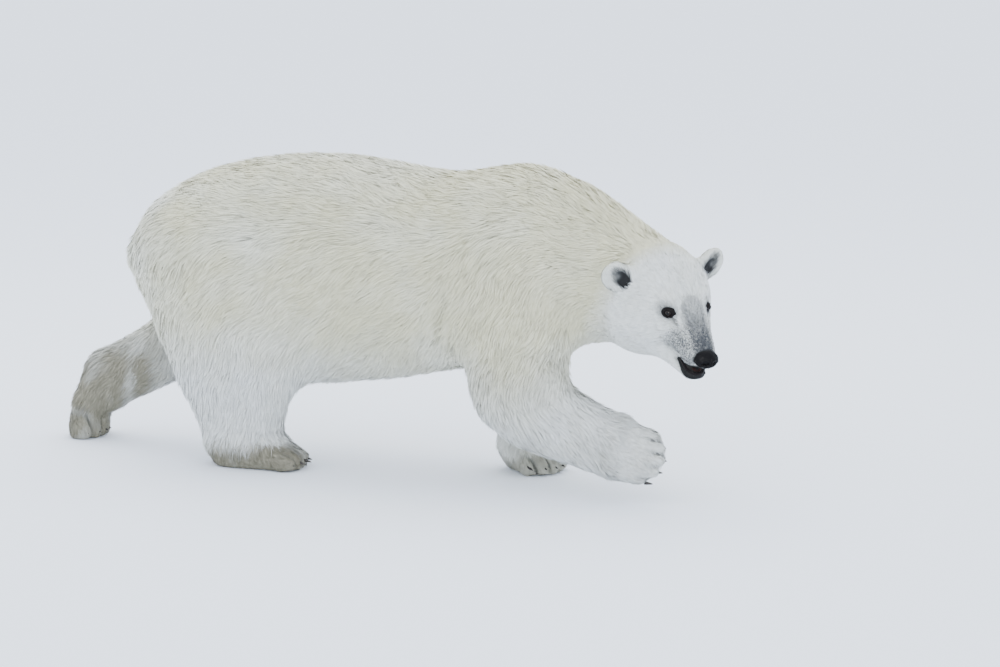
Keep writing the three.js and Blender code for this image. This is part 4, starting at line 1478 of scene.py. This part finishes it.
def lipPath(surface, slope, rise):
    # Around the muzzle from corner to corner, snapped to the skin
    x0, z0 = lips["corner"]
    centre = np.array([lips["centre"], 0.0, 0.0])
    path = []
    for i in range(lips["steps"] + 1):
        turn = math.radians(lips["sweep"] * (i / lips["steps"] - 0.5))
        heading = np.array([math.cos(turn), math.sin(turn), 0.0])
        far = centre + heading * 0.16
        far[2] = z0 + slope * (centre[0] + heading[0] * 0.07 - x0) + rise
        origin = fromHead(far[None])[0]
        aim = -(heading @ headTurn.T)
        hit, _, _, _ = surface.ray_cast(Vector(origin), Vector(aim))
        if hit is not None:
            path.append(toHead(np.array(hit)[None])[0])
    return np.array(path)


def tube(path, radii, around):
    # A closed round bead of changing thickness along a path
    tangent = unit(np.gradient(path, axis=0))
    side = unit(np.cross(tangent, np.array([0.0, 0.0, 1.0])))
    rise = np.cross(side, tangent)
    points = []
    for centre, a, b, radius in zip(path, side, rise, radii):
        for k in range(around):
            turn = 2 * math.pi * k / around
            points.append(centre + a * radius[0] * math.cos(turn) + b * radius[1] * math.sin(turn))
    faces = [tuple(range(around))[::-1]]
    for i in range(len(path) - 1):
        for k in range(around):
            m = (k + 1) % around
            faces.append((i * around + k, i * around + m, (i + 1) * around + m, (i + 1) * around + k))
    faces.append(tuple(range((len(path) - 1) * around, len(path) * around)))
    return np.array(points), faces


def evenPath(path, count):
    # Smoothed and divided into equal steps
    for _ in range(6):
        path[1:-1] += 0.5 * ((path[:-2] + path[2:]) / 2 - path[1:-1])
    before = np.concatenate([[0], np.cumsum(np.linalg.norm(np.diff(path, axis=0), axis=1))])
    at = np.linspace(0, before[-1], count)
    return np.stack([np.interp(at, before, path[:, k]) for k in range(3)], 1)


def makeLips(surface, material):
    for name, (slope, rise, tall) in lips["rims"].items():
        path = lipPath(surface, slope, rise)
        if len(path) < 8:
            print("no room for the lip:", name)
            continue
        path = evenPath(path, 64)
        taper = np.sin(np.linspace(0, math.pi, len(path))) ** 0.4
        wave = 1 + 0.10 * ripple(path, 0.012, 51)
        radii = np.stack([lips["thick"] * taper * wave + 0.0006, tall * taper * wave + 0.0006], 1)
        points, faces = tube(path, radii, lips["around"])
        placePiece(f"lip_{name}", fromHead(points), faces, material, [])
    print("lips made")


tongue = {"at": (-0.066, 0.0, -0.081), "half": (0.040, 0.026, 0.0075), "groove": 0.0025}


def makeTongue(material):
    directions, faces = sphereGrid(28, 36)
    own = directions * np.array(tongue["half"])
    own[:, 2] -= tongue["groove"] * np.exp(-((own[:, 1] / 0.005) ** 2)) * (own[:, 2] > 0)
    own[:, 2] += 0.0006 * ripple(own, 0.006, 61)
    placePiece("tongue", fromHead(own + np.array(tongue["at"])), faces, material, [])


# claws: curved, dark and worn, one for each toe

clawShape = {"around": 12, "rings": 12, "radius": 0.0056, "reach": 0.30, "shown": 0.85}


def makeClaw(name):
    root, bend, tip = clawBend(name)
    start = root - unit(tip - root) * 0.006
    tip = bend + (tip - bend) * clawShape["reach"]
    bend, tip = (root + (p - root) * clawShape["shown"] for p in (bend, tip))
    line = np.array([start, root, bend, tip])
    t = np.linspace(0, 1, clawShape["rings"])
    before = np.concatenate([[0], np.cumsum(np.linalg.norm(np.diff(line, axis=0), axis=1))])
    path = np.stack([np.interp(t * before[-1], before, line[:, k]) for k in range(3)], 1)
    path[1:-1] += 0.5 * ((path[:-2] + path[2:]) / 2 - path[1:-1])
    width = clawShape["radius"] * (1 - t ** 1.6) ** 0.75 + 0.0003
    points, faces = tube(path, np.stack([width * 0.82, width], 1), clawShape["around"])
    return points, faces, np.repeat(t, clawShape["around"])


def makeClaws(foot, material):
    points, faces, along = [], [], []
    names = [f"claw_{foot}_{i}" for i in range(1, 6)]
    offset = 0
    for name in names:
        own, corners, places = makeClaw(name)
        points.append(own)
        faces += [tuple(k + offset for k in corner) for corner in corners]
        along.append(places)
        offset += len(own)
    piece = placePiece(f"claws_{foot}", np.concatenate(points), faces, material, names)
    setFloats(piece.data, "along", np.concatenate(along))


skinSurface = BVHTree.FromPolygons(meshPoints(skin.data).tolist(), meshTriangles(skin.data).tolist())
eyeFinish = eyeMaterial()
lidFinish = bareMaterial("lidSkin")
for name, side in (("left", 1), ("right", -1)):
    makeEye(name, side, eyeFinish)
    makeLids(name, side, skinSurface, lidFinish)
makeNose(noseMaterial())
makeLips(skinSurface, bareMaterial("lipSkin"))
makeTongue(bareMaterial("tongueSkin"))
clawFinish = clawMaterial()
for foot in feet:
    makeClaws(foot, clawFinish)
print("eyes, nose, lips and claws made")
